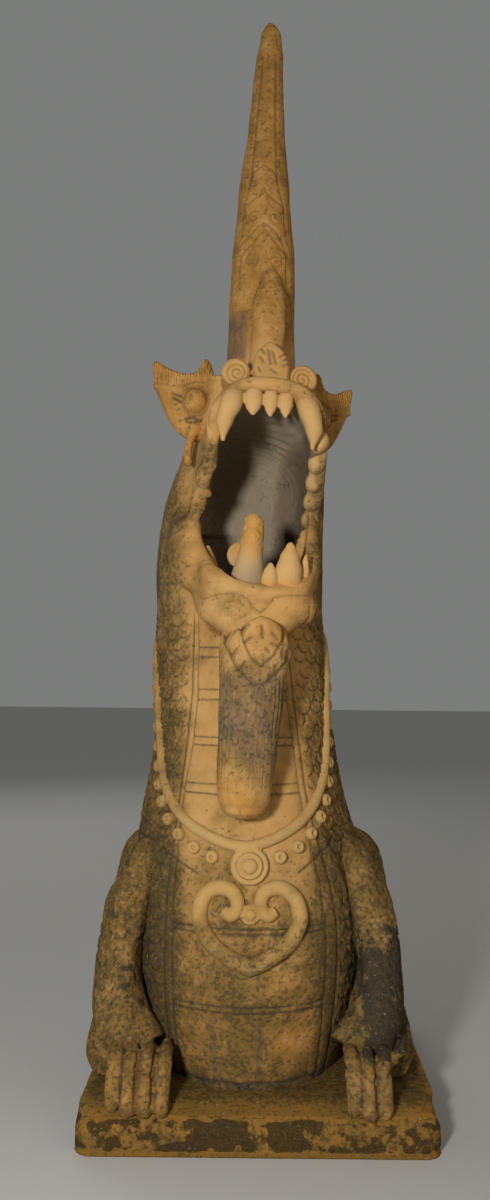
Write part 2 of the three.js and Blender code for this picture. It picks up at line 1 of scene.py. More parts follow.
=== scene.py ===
import bpy
import numpy as np
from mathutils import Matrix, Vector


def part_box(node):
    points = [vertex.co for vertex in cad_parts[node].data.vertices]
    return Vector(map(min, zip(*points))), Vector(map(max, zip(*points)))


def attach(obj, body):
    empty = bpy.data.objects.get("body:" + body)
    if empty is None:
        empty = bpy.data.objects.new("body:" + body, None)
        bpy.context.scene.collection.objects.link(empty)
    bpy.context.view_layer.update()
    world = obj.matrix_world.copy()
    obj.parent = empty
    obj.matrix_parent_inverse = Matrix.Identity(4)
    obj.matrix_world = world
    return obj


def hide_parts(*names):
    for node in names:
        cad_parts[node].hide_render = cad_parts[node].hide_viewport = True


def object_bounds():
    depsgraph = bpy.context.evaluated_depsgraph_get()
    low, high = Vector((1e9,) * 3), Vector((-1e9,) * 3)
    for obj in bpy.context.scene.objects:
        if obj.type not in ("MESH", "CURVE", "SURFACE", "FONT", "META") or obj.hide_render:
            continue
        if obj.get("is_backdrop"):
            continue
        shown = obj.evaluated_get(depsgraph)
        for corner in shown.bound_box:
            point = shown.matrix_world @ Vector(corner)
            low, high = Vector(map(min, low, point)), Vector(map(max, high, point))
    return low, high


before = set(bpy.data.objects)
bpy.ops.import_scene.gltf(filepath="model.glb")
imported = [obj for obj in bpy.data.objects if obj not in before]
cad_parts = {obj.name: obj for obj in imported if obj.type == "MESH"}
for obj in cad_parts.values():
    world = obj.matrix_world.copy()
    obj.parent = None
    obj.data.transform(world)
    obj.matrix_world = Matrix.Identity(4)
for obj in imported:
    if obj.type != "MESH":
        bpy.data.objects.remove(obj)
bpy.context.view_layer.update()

# The slab. A thick square tile of coarse clay, beaten flat by hand. Its corners and upper edge are
# eased and chipped, and the beast is modelled on it in one. Sizes are in millimetres, and the
# figure's own forms in shares of its height, one unit being a 775th of it.
MM = 0.001
SLAB_THICKNESS = 30.0
SLAB_CORNER = 14.0
SLAB_EDGE = 6.0
SLAB_GRAIN = 1.7
SLAB_LIMIT = 120000
FIGURE_SHARES = 775.0
_, box_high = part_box("ridge_beast")
SLAB_HALF = box_high.y / MM
UNIT = (box_high.z / MM - SLAB_THICKNESS) / FIGURE_SHARES
LATTICE = np.random.default_rng(11).random((32, 32, 32))
CLAY_LIMIT = 190000


def skin(rings):
    """A closed shell over rings of points: quads from each ring to the next, and a fan of
    triangles from the middle of each end ring."""
    rows, sides = rings.shape[:2]
    points = np.concatenate([rings.reshape(-1, 3), rings[[0, -1]].mean(axis=1)])
    row, side = np.meshgrid(np.arange(rows - 1), np.arange(sides), indexing="ij")
    here, beside = row * sides + side, row * sides + (side + 1) % sides
    quads = np.stack([here, beside, beside + sides, here + sides], axis=-1).reshape(-1, 4)
    around = np.arange(sides)
    after = (around + 1) % sides
    last = (rows - 1) * sides
    start = np.stack([np.full(sides, rows * sides), after, around], axis=-1)
    end = np.stack([np.full(sides, rows * sides + 1), last + around, last + after], axis=-1)
    return points, [*quads.tolist(), *start.tolist(), *end.tolist()]


def rough_piece(name, shells):
    """One object that holds all the shells, each still closed by itself."""
    points, faces = [], []
    for shell_points, shell_faces in shells:
        first = sum(len(p) for p in points)
        points.append(shell_points)
        faces += [[first + corner for corner in face] for face in shell_faces]
    mesh = bpy.data.meshes.new(name)
    mesh.from_pydata(np.concatenate(points) * MM, [], faces)
    piece = bpy.data.objects.new(name, mesh)
    bpy.context.scene.collection.objects.link(piece)
    return piece


def settle(piece):
    """Makes what the piece's modifiers show its own mesh."""
    graph = bpy.context.evaluated_depsgraph_get()
    piece.data = bpy.data.meshes.new_from_object(piece.evaluated_get(graph))
    piece.modifiers.clear()


def worked(piece, grain, smoothing=3):
    """Rebuilds overlapping shells as one skin of squares of the grain's size, and smooths the steps."""
    remesh = piece.modifiers.new("one_skin", "REMESH")
    remesh.mode, remesh.voxel_size = "VOXEL", grain * MM
    if smoothing:
        smooth = piece.modifiers.new("smooth", "SMOOTH")
        smooth.factor, smooth.iterations = 0.5, smoothing
    settle(piece)
    return piece


def soften(piece, where, steps):
    """Smooths only the vertices that are marked."""
    region = piece.vertex_groups.new(name="soft")
    region.add(np.flatnonzero(where).tolist(), 1.0, "REPLACE")
    smooth = piece.modifiers.new("soften", "SMOOTH")
    smooth.factor, smooth.iterations, smooth.vertex_group = 0.5, steps, "soft"
    settle(piece)


def points_of(piece):
    """The vertices in millimetres."""
    flat = np.empty(len(piece.data.vertices) * 3, np.float32)
    piece.data.vertices.foreach_get("co", flat)
    return flat.reshape(-1, 3).astype(float) / MM


def normals_of(piece):
    """The outward direction at each vertex."""
    flat = np.empty(len(piece.data.vertices) * 3, np.float32)
    piece.data.vertex_normals.foreach_get("vector", flat)
    return flat.reshape(-1, 3).astype(float)


def press(piece, rise):
    """Moves each vertex along its normal by the rise in millimetres; less than nothing goes in."""
    moved = points_of(piece) + normals_of(piece) * rise[:, None]
    piece.data.vertices.foreach_set("co", (moved * MM).astype(np.float32).ravel())
    piece.data.update()


def thinned(piece, most=CLAY_LIMIT):
    """Takes triangles out where the skin is flat until no more than `most` are left."""
    count = sum(len(face.vertices) - 2 for face in piece.data.polygons)
    if count > most:
        thin = piece.modifiers.new("thin", "DECIMATE")
        thin.ratio = most / count
        settle(piece)
    piece.data.polygons.foreach_set("use_smooth", np.ones(len(piece.data.polygons), bool))
    return piece


def mottle(points, size):
    """Soft random hills from 0 to 1, `size` apart: the lattice's values at the eight corners of the
    cube round a point, eased between them by 3t² - 2t³ on each axis."""
    spot = points / size
    cell = np.floor(spot).astype(int)
    part = spot - cell
    part = part * part * (3 - 2 * part)
    total = np.zeros(len(points))
    for corner in np.ndindex(2, 2, 2):
        weight = np.prod(np.where(corner, part, 1 - part), axis=1)
        total += weight * LATTICE[tuple(((cell + corner) % 32).T)]
    return total


def ramp(value, start, end):
    """0 before start and 1 after end, eased between."""
    share = np.clip((value - start) / (end - start), 0, 1)
    return share * share * (3 - 2 * share)


def bell(value, width):
    """1 where the value is 0, falling off on both sides as e to the minus (value / width)²."""
    return np.exp(-(value / width) ** 2)


def wave(value, length):
    """A sine that comes round once every length."""
    return np.sin(value * 2 * np.pi / length)


def uneven(points, *hills):
    """Soft random rises and hollows, from pairs of how far apart they are and how high."""
    return sum((mottle(points, size) - 0.5) * high for size, high in hills)


def circle(sides):
    """Evenly spaced turns once round, in radians."""
    return np.linspace(0, 2 * np.pi, sides, endpoint=False)


def direction(vectors):
    """The same vectors, each one long."""
    return vectors / np.linalg.norm(vectors, axis=-1, keepdims=True)


def node(tree, kind, inputs=None, **settings):
    """Adds a node, with plain values or links for its inputs."""
    made = tree.nodes.new(kind)
    for name, value in settings.items():
        setattr(made, name, value)
    for name, value in (inputs or {}).items():
        if isinstance(value, bpy.types.NodeSocket):
            tree.links.new(value, made.inputs[name])
        else:
            made.inputs[name].default_value = value
    return made


def coloured(tree, share, under, over):
    """Mixes two colours and gives the mixed one."""
    mix = node(tree, "ShaderNodeMix", {0: share, 6: under, 7: over}, data_type="RGBA")
    return mix.outputs[2]


def worked_out(tree, operation, first, second):
    """A sum or a product of two numbers, kept from 0 to 1."""
    made = node(tree, "ShaderNodeMath", {0: first, 1: second}, operation=operation)
    made.use_clamp = True
    return made.outputs[0]


def edged(tree, value, start, end):
    """0 below start and 1 above end, eased between."""
    made = node(tree, "ShaderNodeMapRange", {0: value, 1: start, 2: end}, interpolation_type="SMOOTHSTEP")
    return made.outputs[0]


PALE_LICHEN = (0.50, 0.40, 0.22, 1)
SAND = (0.56, 0.39, 0.19, 1)
CLAY_ROUGHNESS, CLAY_SHINE = 0.88, 0.08
BUMP_STRENGTH, BUMP_DEPTH = 0.55, 0.0012
AGED_COLOURS = {
    "clay": (0.50, 0.30, 0.11),
    "orange": (0.46, 0.205, 0.035),
    "patina": (0.15, 0.093, 0.022),
    "soot": (0.085, 0.066, 0.058),
    "grey": (0.29, 0.24, 0.165),
    "lichen": (0.028, 0.026, 0.02),
}


def weathered_clay():
    """The finish that every piece shares: clay that varies from batch to batch, and over it fired orange,
    patina, soot, grey unwashed clay, painted shade that darkens the grooves and hollows with some dark
    specks, black lichen in patches with crisp edges and pale lichen in specks. The soot coat also carries
    painted shade on the throat's walls. Each shows where the piece's mask of that name says, broken up by
    noise."""
    tree = bpy.data.node_groups.new("weathered clay", "ShaderNodeTree")
    colours = ("Clay", "Orange", "Patina", "Soot", "Grey", "Lichen")
    for name in colours:
        tree.interface.new_socket(name, in_out="INPUT", socket_type="NodeSocketColor")
    tree.interface.new_socket("Colour", in_out="OUTPUT", socket_type="NodeSocketColor")
    tree.interface.new_socket("Height", in_out="OUTPUT", socket_type="NodeSocketFloat")
    given = node(tree, "NodeGroupInput").outputs
    place = node(tree, "ShaderNodeTexCoord").outputs["Object"]
    streaks = node(tree, "ShaderNodeMapping", {"Vector": place, "Scale": (1, 1, 0.22)}).outputs[0]

    def noise(scale, detail, vector=place):
        wanted = {"Vector": vector, "Scale": scale, "Detail": detail, "Roughness": 0.6}
        return node(tree, "ShaderNodeTexNoise", wanted).outputs["Fac"]

    def mask(name):
        return node(tree, "ShaderNodeAttribute", attribute_name=name).outputs["Fac"]

    def times(first, second):
        return worked_out(tree, "MULTIPLY", first, second)

    def both(first, first_weight, second, second_weight):
        return worked_out(tree, "ADD", times(first, first_weight), times(second, second_weight))

    blotch, speckle, grit = noise(70, 5), noise(420, 4), noise(1400, 2)
    brushed, smudges, pepper = noise(160, 4, streaks), noise(120, 8), noise(330, 6)
    patina = mask("patina")
    layers = (
        (edged(tree, noise(14, 3), 0.35, 0.7), 0.3, given["Orange"]),
        (times(mask("orange"), edged(tree, blotch, 0.15, 0.6)), 1.0, given["Orange"]),
        (edged(tree, both(patina, 0.62, blotch, 0.7), 0.42, 0.95), 1.0, given["Patina"]),
        (edged(tree, both(mask("soot"), 0.6, brushed, 0.5), 0.42, 0.85), 0.85, given["Soot"]),
        (mask("grey"), 1.0, given["Grey"]),
        # Painted shade: the grooves and hollows in each piece's crevice mask are darkened with the near-black
        # lichen colour, along with some dark specks.
        (edged(tree, both(mask("crevice"), 0.75, speckle, 0.3), 0.28, 0.95), 0.75, given["Lichen"]),
        (edged(tree, both(mask("lichen"), 0.62, smudges, 0.75), 0.66, 0.75), 0.9, given["Lichen"]),
        (edged(tree, both(patina, 0.3, pepper, 1.0), 0.68, 0.79), 0.55, given["Lichen"]),
        (edged(tree, both(patina, 0.06, speckle, 1.0), 0.68, 0.74), 0.35, PALE_LICHEN),
        (edged(tree, grit, 0.45, 0.75), 0.12, SAND),
    )
    colour = given["Clay"]
    for share, strength, paint in layers:
        colour = coloured(tree, times(share, strength), colour, paint)
    height = both(grit, 0.35, speckle, 0.65)
    node(tree, "NodeGroupOutput", {"Colour": colour, "Height": height})
    return tree


WEATHERED = weathered_clay()


def clay_material(name, **changed):
    """Unglazed fired clay with a colour for each coat of the weathering, some of them its own."""
    material = bpy.data.materials.new(name)
    material.use_nodes = True
    tree = material.node_tree
    surface = tree.nodes["Principled BSDF"]
    surface.inputs["Roughness"].default_value = CLAY_ROUGHNESS
    surface.inputs["Specular IOR Level"].default_value = CLAY_SHINE
    finish = node(tree, "ShaderNodeGroup", node_tree=WEATHERED)
    for socket, colour in {**AGED_COLOURS, **changed}.items():
        finish.inputs[socket.capitalize()].default_value = (*colour, 1)
    tree.links.new(finish.outputs["Colour"], surface.inputs["Base Color"])
    wanted = {"Strength": BUMP_STRENGTH, "Distance": BUMP_DEPTH, "Height": finish.outputs["Height"]}
    bump = node(tree, "ShaderNodeBump", wanted)
    tree.links.new(bump.outputs["Normal"], surface.inputs["Normal"])
    return material


def coat(piece, material, **masks):
    """Gives the piece its material and its masks, a number from 0 to 1 at each vertex, and ties it to
    the frame in the place of the modelled beast."""
    for name in ("orange", "patina", "soot", "grey", "crevice", "lichen"):
        mask = masks.get(name, np.zeros(len(piece.data.vertices)))
        attribute = piece.data.attributes.new(name, "FLOAT", "POINT")
        attribute.data.foreach_set("value", np.clip(mask, 0, 1).astype(np.float32))
    piece.data.materials.clear()
    piece.data.materials.append(material)
    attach(piece, "root")
    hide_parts("ridge_beast")


def slab_shell():
    """Rounded squares stacked from the underside to the top: straight sides and quarter-circle
    corners, the last levels drawn in along a quarter circle for the eased upper edge."""
    turn = circle(240)
    corner = np.stack([np.sign(np.cos(turn + 1e-6)), np.sign(np.sin(turn + 1e-6))], axis=1)
    ease = np.linspace(0, np.pi / 2, 8)
    insets = np.concatenate([np.zeros(8), SLAB_EDGE * (1 - np.cos(ease))])
    heights = np.concatenate([
        np.linspace(0, SLAB_THICKNESS - SLAB_EDGE, 8),
        SLAB_THICKNESS - SLAB_EDGE * (1 - np.sin(ease)),
    ])
    rings = []
    for inset, height in zip(insets, heights):
        half = SLAB_HALF - inset
        flat = half * np.stack([np.cos(turn), np.sin(turn)], axis=1)
        flat /= np.maximum(np.abs(flat).max(axis=1, keepdims=True) / half, 1e-9)
        middle = corner * (half - SLAB_CORNER)
        in_corner = (np.abs(flat) > half - SLAB_CORNER).all(axis=1)
        out = flat - middle
        out *= SLAB_CORNER / np.maximum(np.linalg.norm(out, axis=1, keepdims=True), 1e-9)
        ring = np.where(in_corner[:, None], middle + out, flat)
        rings.append(np.column_stack([ring, np.full(len(ring), height)]))
    return skin(np.array(rings))


slab = worked(rough_piece("slab", [slab_shell()]), SLAB_GRAIN)
spot = points_of(slab)
to_side = SLAB_HALF - np.abs(spot[:, :2]).max(axis=1)
x, y, z = spot.T
at_rim = ramp(z, 8, SLAB_THICKNESS - 2) * ramp(to_side, 16, 0)
chips = ramp(mottle(spot, 17), 0.62, 0.8) * at_rim * 3.2 + ramp(mottle(spot, 6), 0.6, 0.9) * at_rim * 1.2
waves = mottle(spot, 34) * 1.2 + mottle(spot, 9) * 0.5 + mottle(spot, 3) * 0.25
worn = 6.5 * ramp(-y, SLAB_HALF - 26, SLAB_HALF + 2) * ramp(z, 16, 27)
lower_chips = ramp(z, 7, 0) * ramp(mottle(spot, 11), 0.55, 0.8) * 2.0 * ramp(to_side, 8, 0)
press(slab, -(chips + waves + worn + lower_chips) * ramp(z, 0.2, 2))
thinned(slab, SLAB_LIMIT)
spot = points_of(slab)
z = spot[:, 2]
rim = ramp(SLAB_HALF - np.abs(spot[:, :2]).max(axis=1), 9, 4)
slab_face = rim * ramp(z, 2, 5)
on_top = ramp(z, 26, 29) * (1 - rim)
patches = ramp(0.55 * mottle(spot * (1, 1, 1.4), 19) + 0.45 * mottle(spot, 6), 0.38, 0.6)
midband = ramp(np.abs(z - 13), 13, 8)
coat(
    slab,
    clay_material("slab clay", clay=(0.21, 0.10, 0.014), lichen=(0.035, 0.022, 0.007)),
    orange=0.8 * slab_face * (1 - on_top) + 0.1 * on_top,
    patina=0.5 + 0.35 * on_top + 0.3 * mottle(spot, 9) * slab_face,
    lichen=slab_face * midband * (0.5 + 0.4 * patches) + 0.46 * on_top * ramp(mottle(spot, 24), 0.3, 0.7),
    crevice=0.35 * mottle(spot, 12) * on_top + 0.45 * slab_face * ramp(mottle(spot, 3.4), 0.5, 0.8),
)


# The body, neck, skull and jaws. One hollow coiled form, drawn up from a wide seat to the head, with
# the jaws wide open round an empty mouth and throat. A smooth shield with double incised lines runs
# down its front, and its sides are covered with scales pressed in by a curved tool.
COLUMN = np.array([
    [-6, -8, 20, 77, 106, 84],
    [24, -8, 20, 84, 111, 88],
    [66, -8, 20, 89, 117, 90],
    [106, -8, 20, 90, 114, 88],
    [144, -10, 20, 86, 104, 84],
    [182, -13, 18, 77, 96, 76],
    [220, -14, 17, 70, 82, 70],
    [262, -16, 15, 66, 71, 67],
    [310, -18, 14, 64, 62, 62],
    [360, -19, 14, 64.5, 56, 58],
    [405, -16, 16, 62, 52, 52],
    [450, -9, 16, 54, 50, 46],
    [485, -5, 14, 44, 44, 38],
    [508, -3, 12, 33, 32, 30],
    [520, -3, 12, 14, 16, 14],
], float)
MOUTH_WALL = 8.0
NECK_WALL = 10.0
THROAT_DEPTH = 116.0
THROAT_TOP = 388.0
HEAD_PIVOT = np.array([-14.0, 20.0, 400.0]) * UNIT + (0, 0, SLAB_THICKNESS)
HEAD_TURN, HEAD_TILT = np.radians(8), np.radians(3.5)


def eased_rows(rows, at):
    """Values between the rows at first-column places: in each stretch a cubic whose slope at a row is
    half a share of the way from the row before to the row after it."""
    knots, values = rows[:, 0], rows[:, 1:]
    at = np.atleast_1d(np.asarray(at, float))
    below = np.clip(np.searchsorted(knots, at, side="right") - 1, 0, len(knots) - 2)
    before = np.where(below > 0, below - 1, below + 1)
    after = np.where(below + 2 < len(knots), below + 2, below)
    span = knots[below + 1] - knots[below]
    before_knot = np.where(below > 0, knots[before], knots[below + 1])
    after_knot = np.where(below + 2 < len(knots), knots[after], knots[below])
    lead = 0.5 * span / (knots[below] - before_knot)
    trail = 0.5 * span / (after_knot - knots[below + 1])
    t = np.clip((at - knots[below]) / span, 0, 1)
    t2, t3 = t * t, t * t * t
    weights = [
        (before, -lead * t3 + 2 * lead * t2 - lead * t),
        (below, (1 + lead) * t3 + (-1.5 - 2 * lead) * t2 + (-0.5 + lead) * t + 1),
        (below + 1, (-1 - trail) * t3 + (1.5 + trail) * t2 + 0.5 * t),
        (after, trail * t3 - trail * t2),
    ]
    return sum(values[index] * weight[:, None] for index, weight in weights)


def above_slab(points):
    """How high points in the frame are above the slab's top, in figure shares."""
    return (points[:, 2] - SLAB_THICKNESS) / UNIT


def on_slab(points):
    """Figure shares above the slab's top to millimetres in the frame."""
    return np.asarray(points, float) * UNIT + (0, 0, SLAB_THICKNESS)


def on_column(angle, height, lift=0.0):
    """Points of the body's skin: its middle plus half width * sin(angle) across and depth *
    -cos(angle) back, angle 0 in front and growing to +X. The lift goes outwards."""
    angle, height = np.broadcast_arrays(np.asarray(angle, float), np.asarray(height, float))
    x, y, half, front, back = eased_rows(COLUMN, height.ravel()).T.reshape(5, *angle.shape)
    depth = np.where(np.cos(angle) > 0, front, back)
    middle = on_slab(np.stack([x, y, height], axis=-1))
    middle[..., 0] += (half * UNIT + lift) * np.sin(angle)
    middle[..., 1] -= (depth * UNIT + lift) * np.cos(angle)
    return middle


def off_column(points):
    """The angle, in degrees from the front, and the height above the slab of points near the skin."""
    height = above_slab(points)
    x, y, half, front, back = eased_rows(COLUMN, np.clip(height, COLUMN[0, 0], COLUMN[-1, 0])).T
    across = (points[:, 0] / UNIT - x) / half
    forward = (y - points[:, 1] / UNIT) / np.where(points[:, 1] / UNIT < y, front, back)
    return np.degrees(np.arctan2(across, forward)), height, half


def head_turned():
    """The head's turn about the upright and its tilt about its own way forward, as one matrix."""
    turn_cos, turn_sin = np.cos(HEAD_TURN), np.sin(HEAD_TURN)
    tilt_cos, tilt_sin = np.cos(HEAD_TILT), np.sin(HEAD_TILT)
    turn = np.array([[turn_cos, -turn_sin, 0], [turn_sin, turn_cos, 0], [0, 0, 1]])
    tilt = np.array([[tilt_cos, 0, tilt_sin], [0, 1, 0], [-tilt_sin, 0, tilt_cos]])
    return turn @ tilt


HEAD_AXES = head_turned()


def in_head(points):
    """Shares across, back and up from the head's pivot to millimetres in the frame."""
    return np.asarray(points, float) * UNIT @ HEAD_AXES.T + HEAD_PIVOT


def off_head(points):
    """Millimetres in the frame to shares across, back and up from the head's pivot."""
    return (points - HEAD_PIVOT) @ HEAD_AXES / UNIT


def smooth_line(points, count):
    """A line through the points: between two of them a cubic whose slopes come from the points on
    both sides, each stretch weighed by the square root of its length."""
    points = np.asarray(points, float)
    last = len(points) - 1
    share = np.linspace(0, last, count)
    low = np.minimum(share.astype(int), last - 1)
    t = (share - low)[:, None]
    padded = np.concatenate([2 * points[:1] - points[1:2], points, 2 * points[-1:] - points[-2:-1]])
    p0, p1, p2, p3 = (padded[low + shift] for shift in range(4))
    d0, d1, d2 = (
        np.maximum(np.linalg.norm(b - a, axis=1, keepdims=True), 1e-6) ** 0.5
        for a, b in ((p0, p1), (p1, p2), (p2, p3))
    )
    slope1 = ((p1 - p0) / d0 - (p2 - p0) / (d0 + d1) + (p2 - p1) / d1) * d1
    slope2 = ((p2 - p1) / d1 - (p3 - p1) / (d1 + d2) + (p3 - p2) / d2) * d1
    curved = -3 * p1 + 3 * p2 - 2 * slope1 - slope2
    return p1 + slope1 * t + curved * t**2 + (2 * p1 - 2 * p2 + slope1 + slope2) * t**3


def limb(stations, place, facing=(0, -1, 0), sides=28, steps=48):
    """Ellipses carried along a smooth line through the stations, each a centre, a half width and a
    half thickness (or one radius for both): centre + width * cos * across + thickness * sin * out."""
    stations = np.array([[*row, row[-1]] if len(row) == 4 else row for row in stations], float)
    line = smooth_line(place(stations[:, :3]), steps + 1)
    share = np.linspace(0, len(stations) - 1, steps + 1)
    low = np.minimum(share.astype(int), len(stations) - 2)
    ease = ((share - low) ** 2 * (3 - 2 * (share - low)))[:, None]
    sizes = (stations[low, 3:] * (1 - ease) + stations[low + 1, 3:] * ease) * UNIT
    run = np.gradient(line, axis=0)
    across = direction(np.cross(run, facing))
    out = direction(np.cross(across, run))
    turn = circle(sides)
    wide = across[:, None] * (sizes[:, :1] * np.cos(turn))[..., None]
    thick = out[:, None] * (sizes[:, 1:] * np.sin(turn))[..., None]
    return skin(line[:, None] + wide + thick)


def head_limb(stations, facing=(0, -1, 0), **more):
    """A limb whose stations and facing are the head's own."""
    return limb(stations, in_head, HEAD_AXES @ facing, **more)


def column_shell():
    """The body's skin from below the slab's top to the crown of the skull."""
    height = np.linspace(COLUMN[0, 0], COLUMN[-1, 0], 150)[:, None]
    turn = circle(150)[None]
    return skin(on_column(*np.broadcast_arrays(turn, height)))


def muzzle_shell(stations, inset, sides=72):
    """Squarish rings along the muzzle: across and up go as cos and sin raised to a power below 1,
    0.6 below and 0.75 above, about the middle of each station's lowest and highest points."""
    y, low, high, half, lean = eased_rows(np.array([[n, *row] for n, row in enumerate(stations)], float),
                                          np.linspace(0, len(stations) - 1, 60)).T
    turn = circle(sides)
    power = np.where(np.sin(turn) < 0, 0.6, 0.75)
    wide = np.sign(np.cos(turn)) * np.abs(np.cos(turn)) ** power
    tall = np.sign(np.sin(turn)) * np.abs(np.sin(turn)) ** power
    up = ((high - low) / 2 - inset / UNIT)[:, None] * tall
    across = (half - inset / UNIT)[:, None] * wide
    rings = np.stack([across, y[:, None] + lean[:, None] * up, ((high + low) / 2)[:, None] + up], axis=-1)
    return skin(in_head(rings))


MUZZLE = [
    [20, -84, 100, 40, 0],
    [-10, -90, 106, 46, 0],
    [-42, -96, 102, 46, 0.04],
    [-70, -99, 92, 43, 0.07],
    [-92, -98, 82, 40, 0.08],
    [-100, -92, 76, 35, 0.08],
]
MOUTH_HOLLOW = [
    [24, -40, 52, 36, 0],
    [4, -62, 68, 48, 0],
    [-42, -68, 80, 48, 0.04],
    [-80, -68, 81, 43, 0.08],
    [-120, -68, 80, 41, 0.08],
]
GAPE_CORNER = (40.0, -10.0)
UPPER_SLOPE, LOWER_SLOPE = 1.07, -0.75


def gape_shell():
    """A wedge right through the muzzle: its corner at the back of the mouth, widening forwards."""
    back, level = GAPE_CORNER
    reach, half = 90, 80
    front = -back - reach
    outline = [(-back, level), (front, level + reach * LOWER_SLOPE), (front, level + reach * UPPER_SLOPE)]
    return skin(np.array([in_head([(x, y, z) for y, z in outline]) for x in (-half, half)]))


def throat_shell():
    """The neck's skin drawn in by the thickness of its wall, down to a narrower bottom."""
    bottom = THROAT_TOP - THROAT_DEPTH / UNIT
    height = np.linspace(bottom, THROAT_TOP, 40)[:, None]
    turn = circle(60)[None]
    rings = on_column(*np.broadcast_arrays(turn, height), lift=-NECK_WALL)
    back_wall = 46 + 16 * ramp(height, THROAT_TOP, THROAT_TOP - 56)
    rings[..., 1] = np.minimum(rings[..., 1], back_wall)
    side_wall = 41 + 15 * ramp(height, THROAT_TOP, THROAT_TOP - 50)
    rings[..., 0] = np.clip(rings[..., 0], HEAD_PIVOT[0] - side_wall, HEAD_PIVOT[0] + side_wall)
    middle = rings.mean(axis=1, keepdims=True)
    narrow = 0.7 + 0.3 * ramp(height, bottom, bottom + 30)
    return skin(middle + (rings - middle) * narrow[..., None])


def cut(piece, shells, grain):
    """Takes the overlapping shells away from the piece."""
    tool = worked(rough_piece("tool", shells), grain)
    boolean = piece.modifiers.new("cut", "BOOLEAN")
    boolean.operation, boolean.object, boolean.solver = "DIFFERENCE", tool, "MANIFOLD"
    settle(piece)
    bpy.data.objects.remove(tool)


def gather(piece, shells):
    """Adds shells to a piece that is already one skin."""
    more = rough_piece("more", shells)
    with bpy.context.temp_override(active_object=piece, selected_editable_objects=[piece, more]):
        bpy.ops.object.join()


BODY_GRAIN = 1.5
SIDEWAYS = (1, 0, 0)
UPPER_LIP = [(-36, -82, 34, 5), (-36, -90, 58, 5), (-23, -95, 73, 5), (0, -97, 77, 5),
             (23, -95, 73, 5), (36, -90, 60, 5), (37, -82, 36, 5)]
LOWER_LIP = [(-35, -80, -48, 6), (-30, -96, -62, 6), (0, -104, -67, 6), (26, -101, -65, 6), (38, -84, -56, 6)]
CHIN_LOBES = [
    [(-5, -101, -75, 8, 8), (-16, -100, -80, 12, 10), (-28, -90, -78, 13, 10), (-37, -70, -70, 9, 5)],
    [(10, -102, -72, 8, 6), (24, -101, -74, 11, 9), (36, -88, -74, 11, 9), (38, -66, -74, 6, 4)],
]
CHEEKS = [
    [(-62, -10, 404, 5), (-60, -24, 380, 12), (-54, -44, 354, 14), (-40, -62, 336, 9)],
    [(31, -16, 404, 4), (32, -32, 378, 8), (31, -50, 354, 10), (27, -62, 338, 8)],
]
BROKEN_RIMS = [
    [(-42, -42, -8, 5), (-42, -50, 2, 6.4), (-39, -56, 10, 4.4), (-40, -65, 18, 6.6), (-36, -70, 27, 4.6),
     (-38, -79, 34, 6), (-36, -84, 44, 4.5)],
    [(-44, -44, -12, 6), (-45, -51, -19, 7), (-42, -58, -30, 5), (-41, -66, -37, 6.4), (-37, -76, -48, 5),
     (-34, -86, -58, 5.6)],
    [(-37, -55, 7, 3.4), (-34, -58, 4, 2.2)],
    [(-36, -68, 25, 3.8), (-33, -71, 21, 2.6)],
    [(-39, -47, -3, 3.4), (-36, -50, -6, 2)],
    [(-36, -77, 35, 3.4), (-34, -80, 31, 2)],
    [(32, -68, -62, 4), (32, -56, -44, 3.4), (35, -48, -26, 3), (38, -44, -12, 2)],
]

body = worked(rough_piece("body", [column_shell(), muzzle_shell(MUZZLE, 0)]), BODY_GRAIN)
cut(body, [gape_shell()], BODY_GRAIN)
gather(body, [head_limb(lip, (0, -1, 0.01)) for lip in (UPPER_LIP, LOWER_LIP)])
gather(body, [head_limb(lobe, (0, -1, 0.01)) for lobe in CHIN_LOBES])
gather(body, [limb(cheek, on_slab) for cheek in CHEEKS])
worked(body, BODY_GRAIN)
cut(body, [muzzle_shell(MOUTH_HOLLOW, MOUTH_WALL), throat_shell()], BODY_GRAIN)
gather(body, [head_limb(rim, SIDEWAYS) for rim in BROKEN_RIMS])
worked(body, BODY_GRAIN - 0.15, 4)
for middle, reach, low, high, front, steps in ((-52, 22, 330, 432, -12, 60), (36, 14, 345, 428, -14, 25)):
    x, y, z = points_of(body).T
    soften(body, (np.abs(x - middle) < reach) & (z > low) & (z < high) & (y < front), steps)


def stroke(u, v, path, width):
    """1 on a line through the path's points and falling off beside it as a bell of that width."""
    nearest = np.full(len(u), np.inf)
    for (u0, v0), (u1, v1) in zip(path[:-1], path[1:]):
        length = (u1 - u0) ** 2 + (v1 - v0) ** 2
        t = np.clip(((u - u0) * (u1 - u0) + (v - v0) * (v1 - v0)) / length, 0, 1)
        nearest = np.minimum(nearest, (u - u0 - t * (u1 - u0)) ** 2 + (v - v0 - t * (v1 - v0)) ** 2)
    return np.exp(-nearest / width**2)


def strokes(u, v, paths, width):
    """All the paths' strokes added up."""
    return sum(stroke(u, v, path, width) for path in paths)


def fish_scales(u, v, width=13.5, pitch=9.0):
    """Staggered round-ended scales: inside each U-shaped edge the clay swells towards the edge, and
    outside it a groove falls off as a bell. Gives the rise and the groove."""
    rise, groove = np.zeros(len(u)), np.zeros(len(u))
    for layer in (0, 1):
        column_number = np.floor(u / width + 0.5 * layer)
        row_number = np.floor(v / (2 * pitch) + 0.5 * layer)
        shake = LATTICE[(column_number % 32).astype(int), (row_number % 32).astype(int), layer] - 0.5
        du = u - (column_number + 0.5 - 0.5 * layer) * width + shake * 2.5
        dv = v - (row_number + 0.5 - 0.5 * layer) * 2 * pitch + shake * 4
        reach = np.hypot(du / (width * 0.47), np.minimum(dv, 0) / (pitch * 0.8))
        shown = ramp(dv, 9, 2)
        rise = np.maximum(rise, np.where(reach < 1, reach**2, 0) * shown)
        deep = shown * (0.35 + 0.65 * ramp(dv, 1, -4))
        groove = np.maximum(groove, bell(reach - 1.06, 0.11) * deep)
    return rise, groove


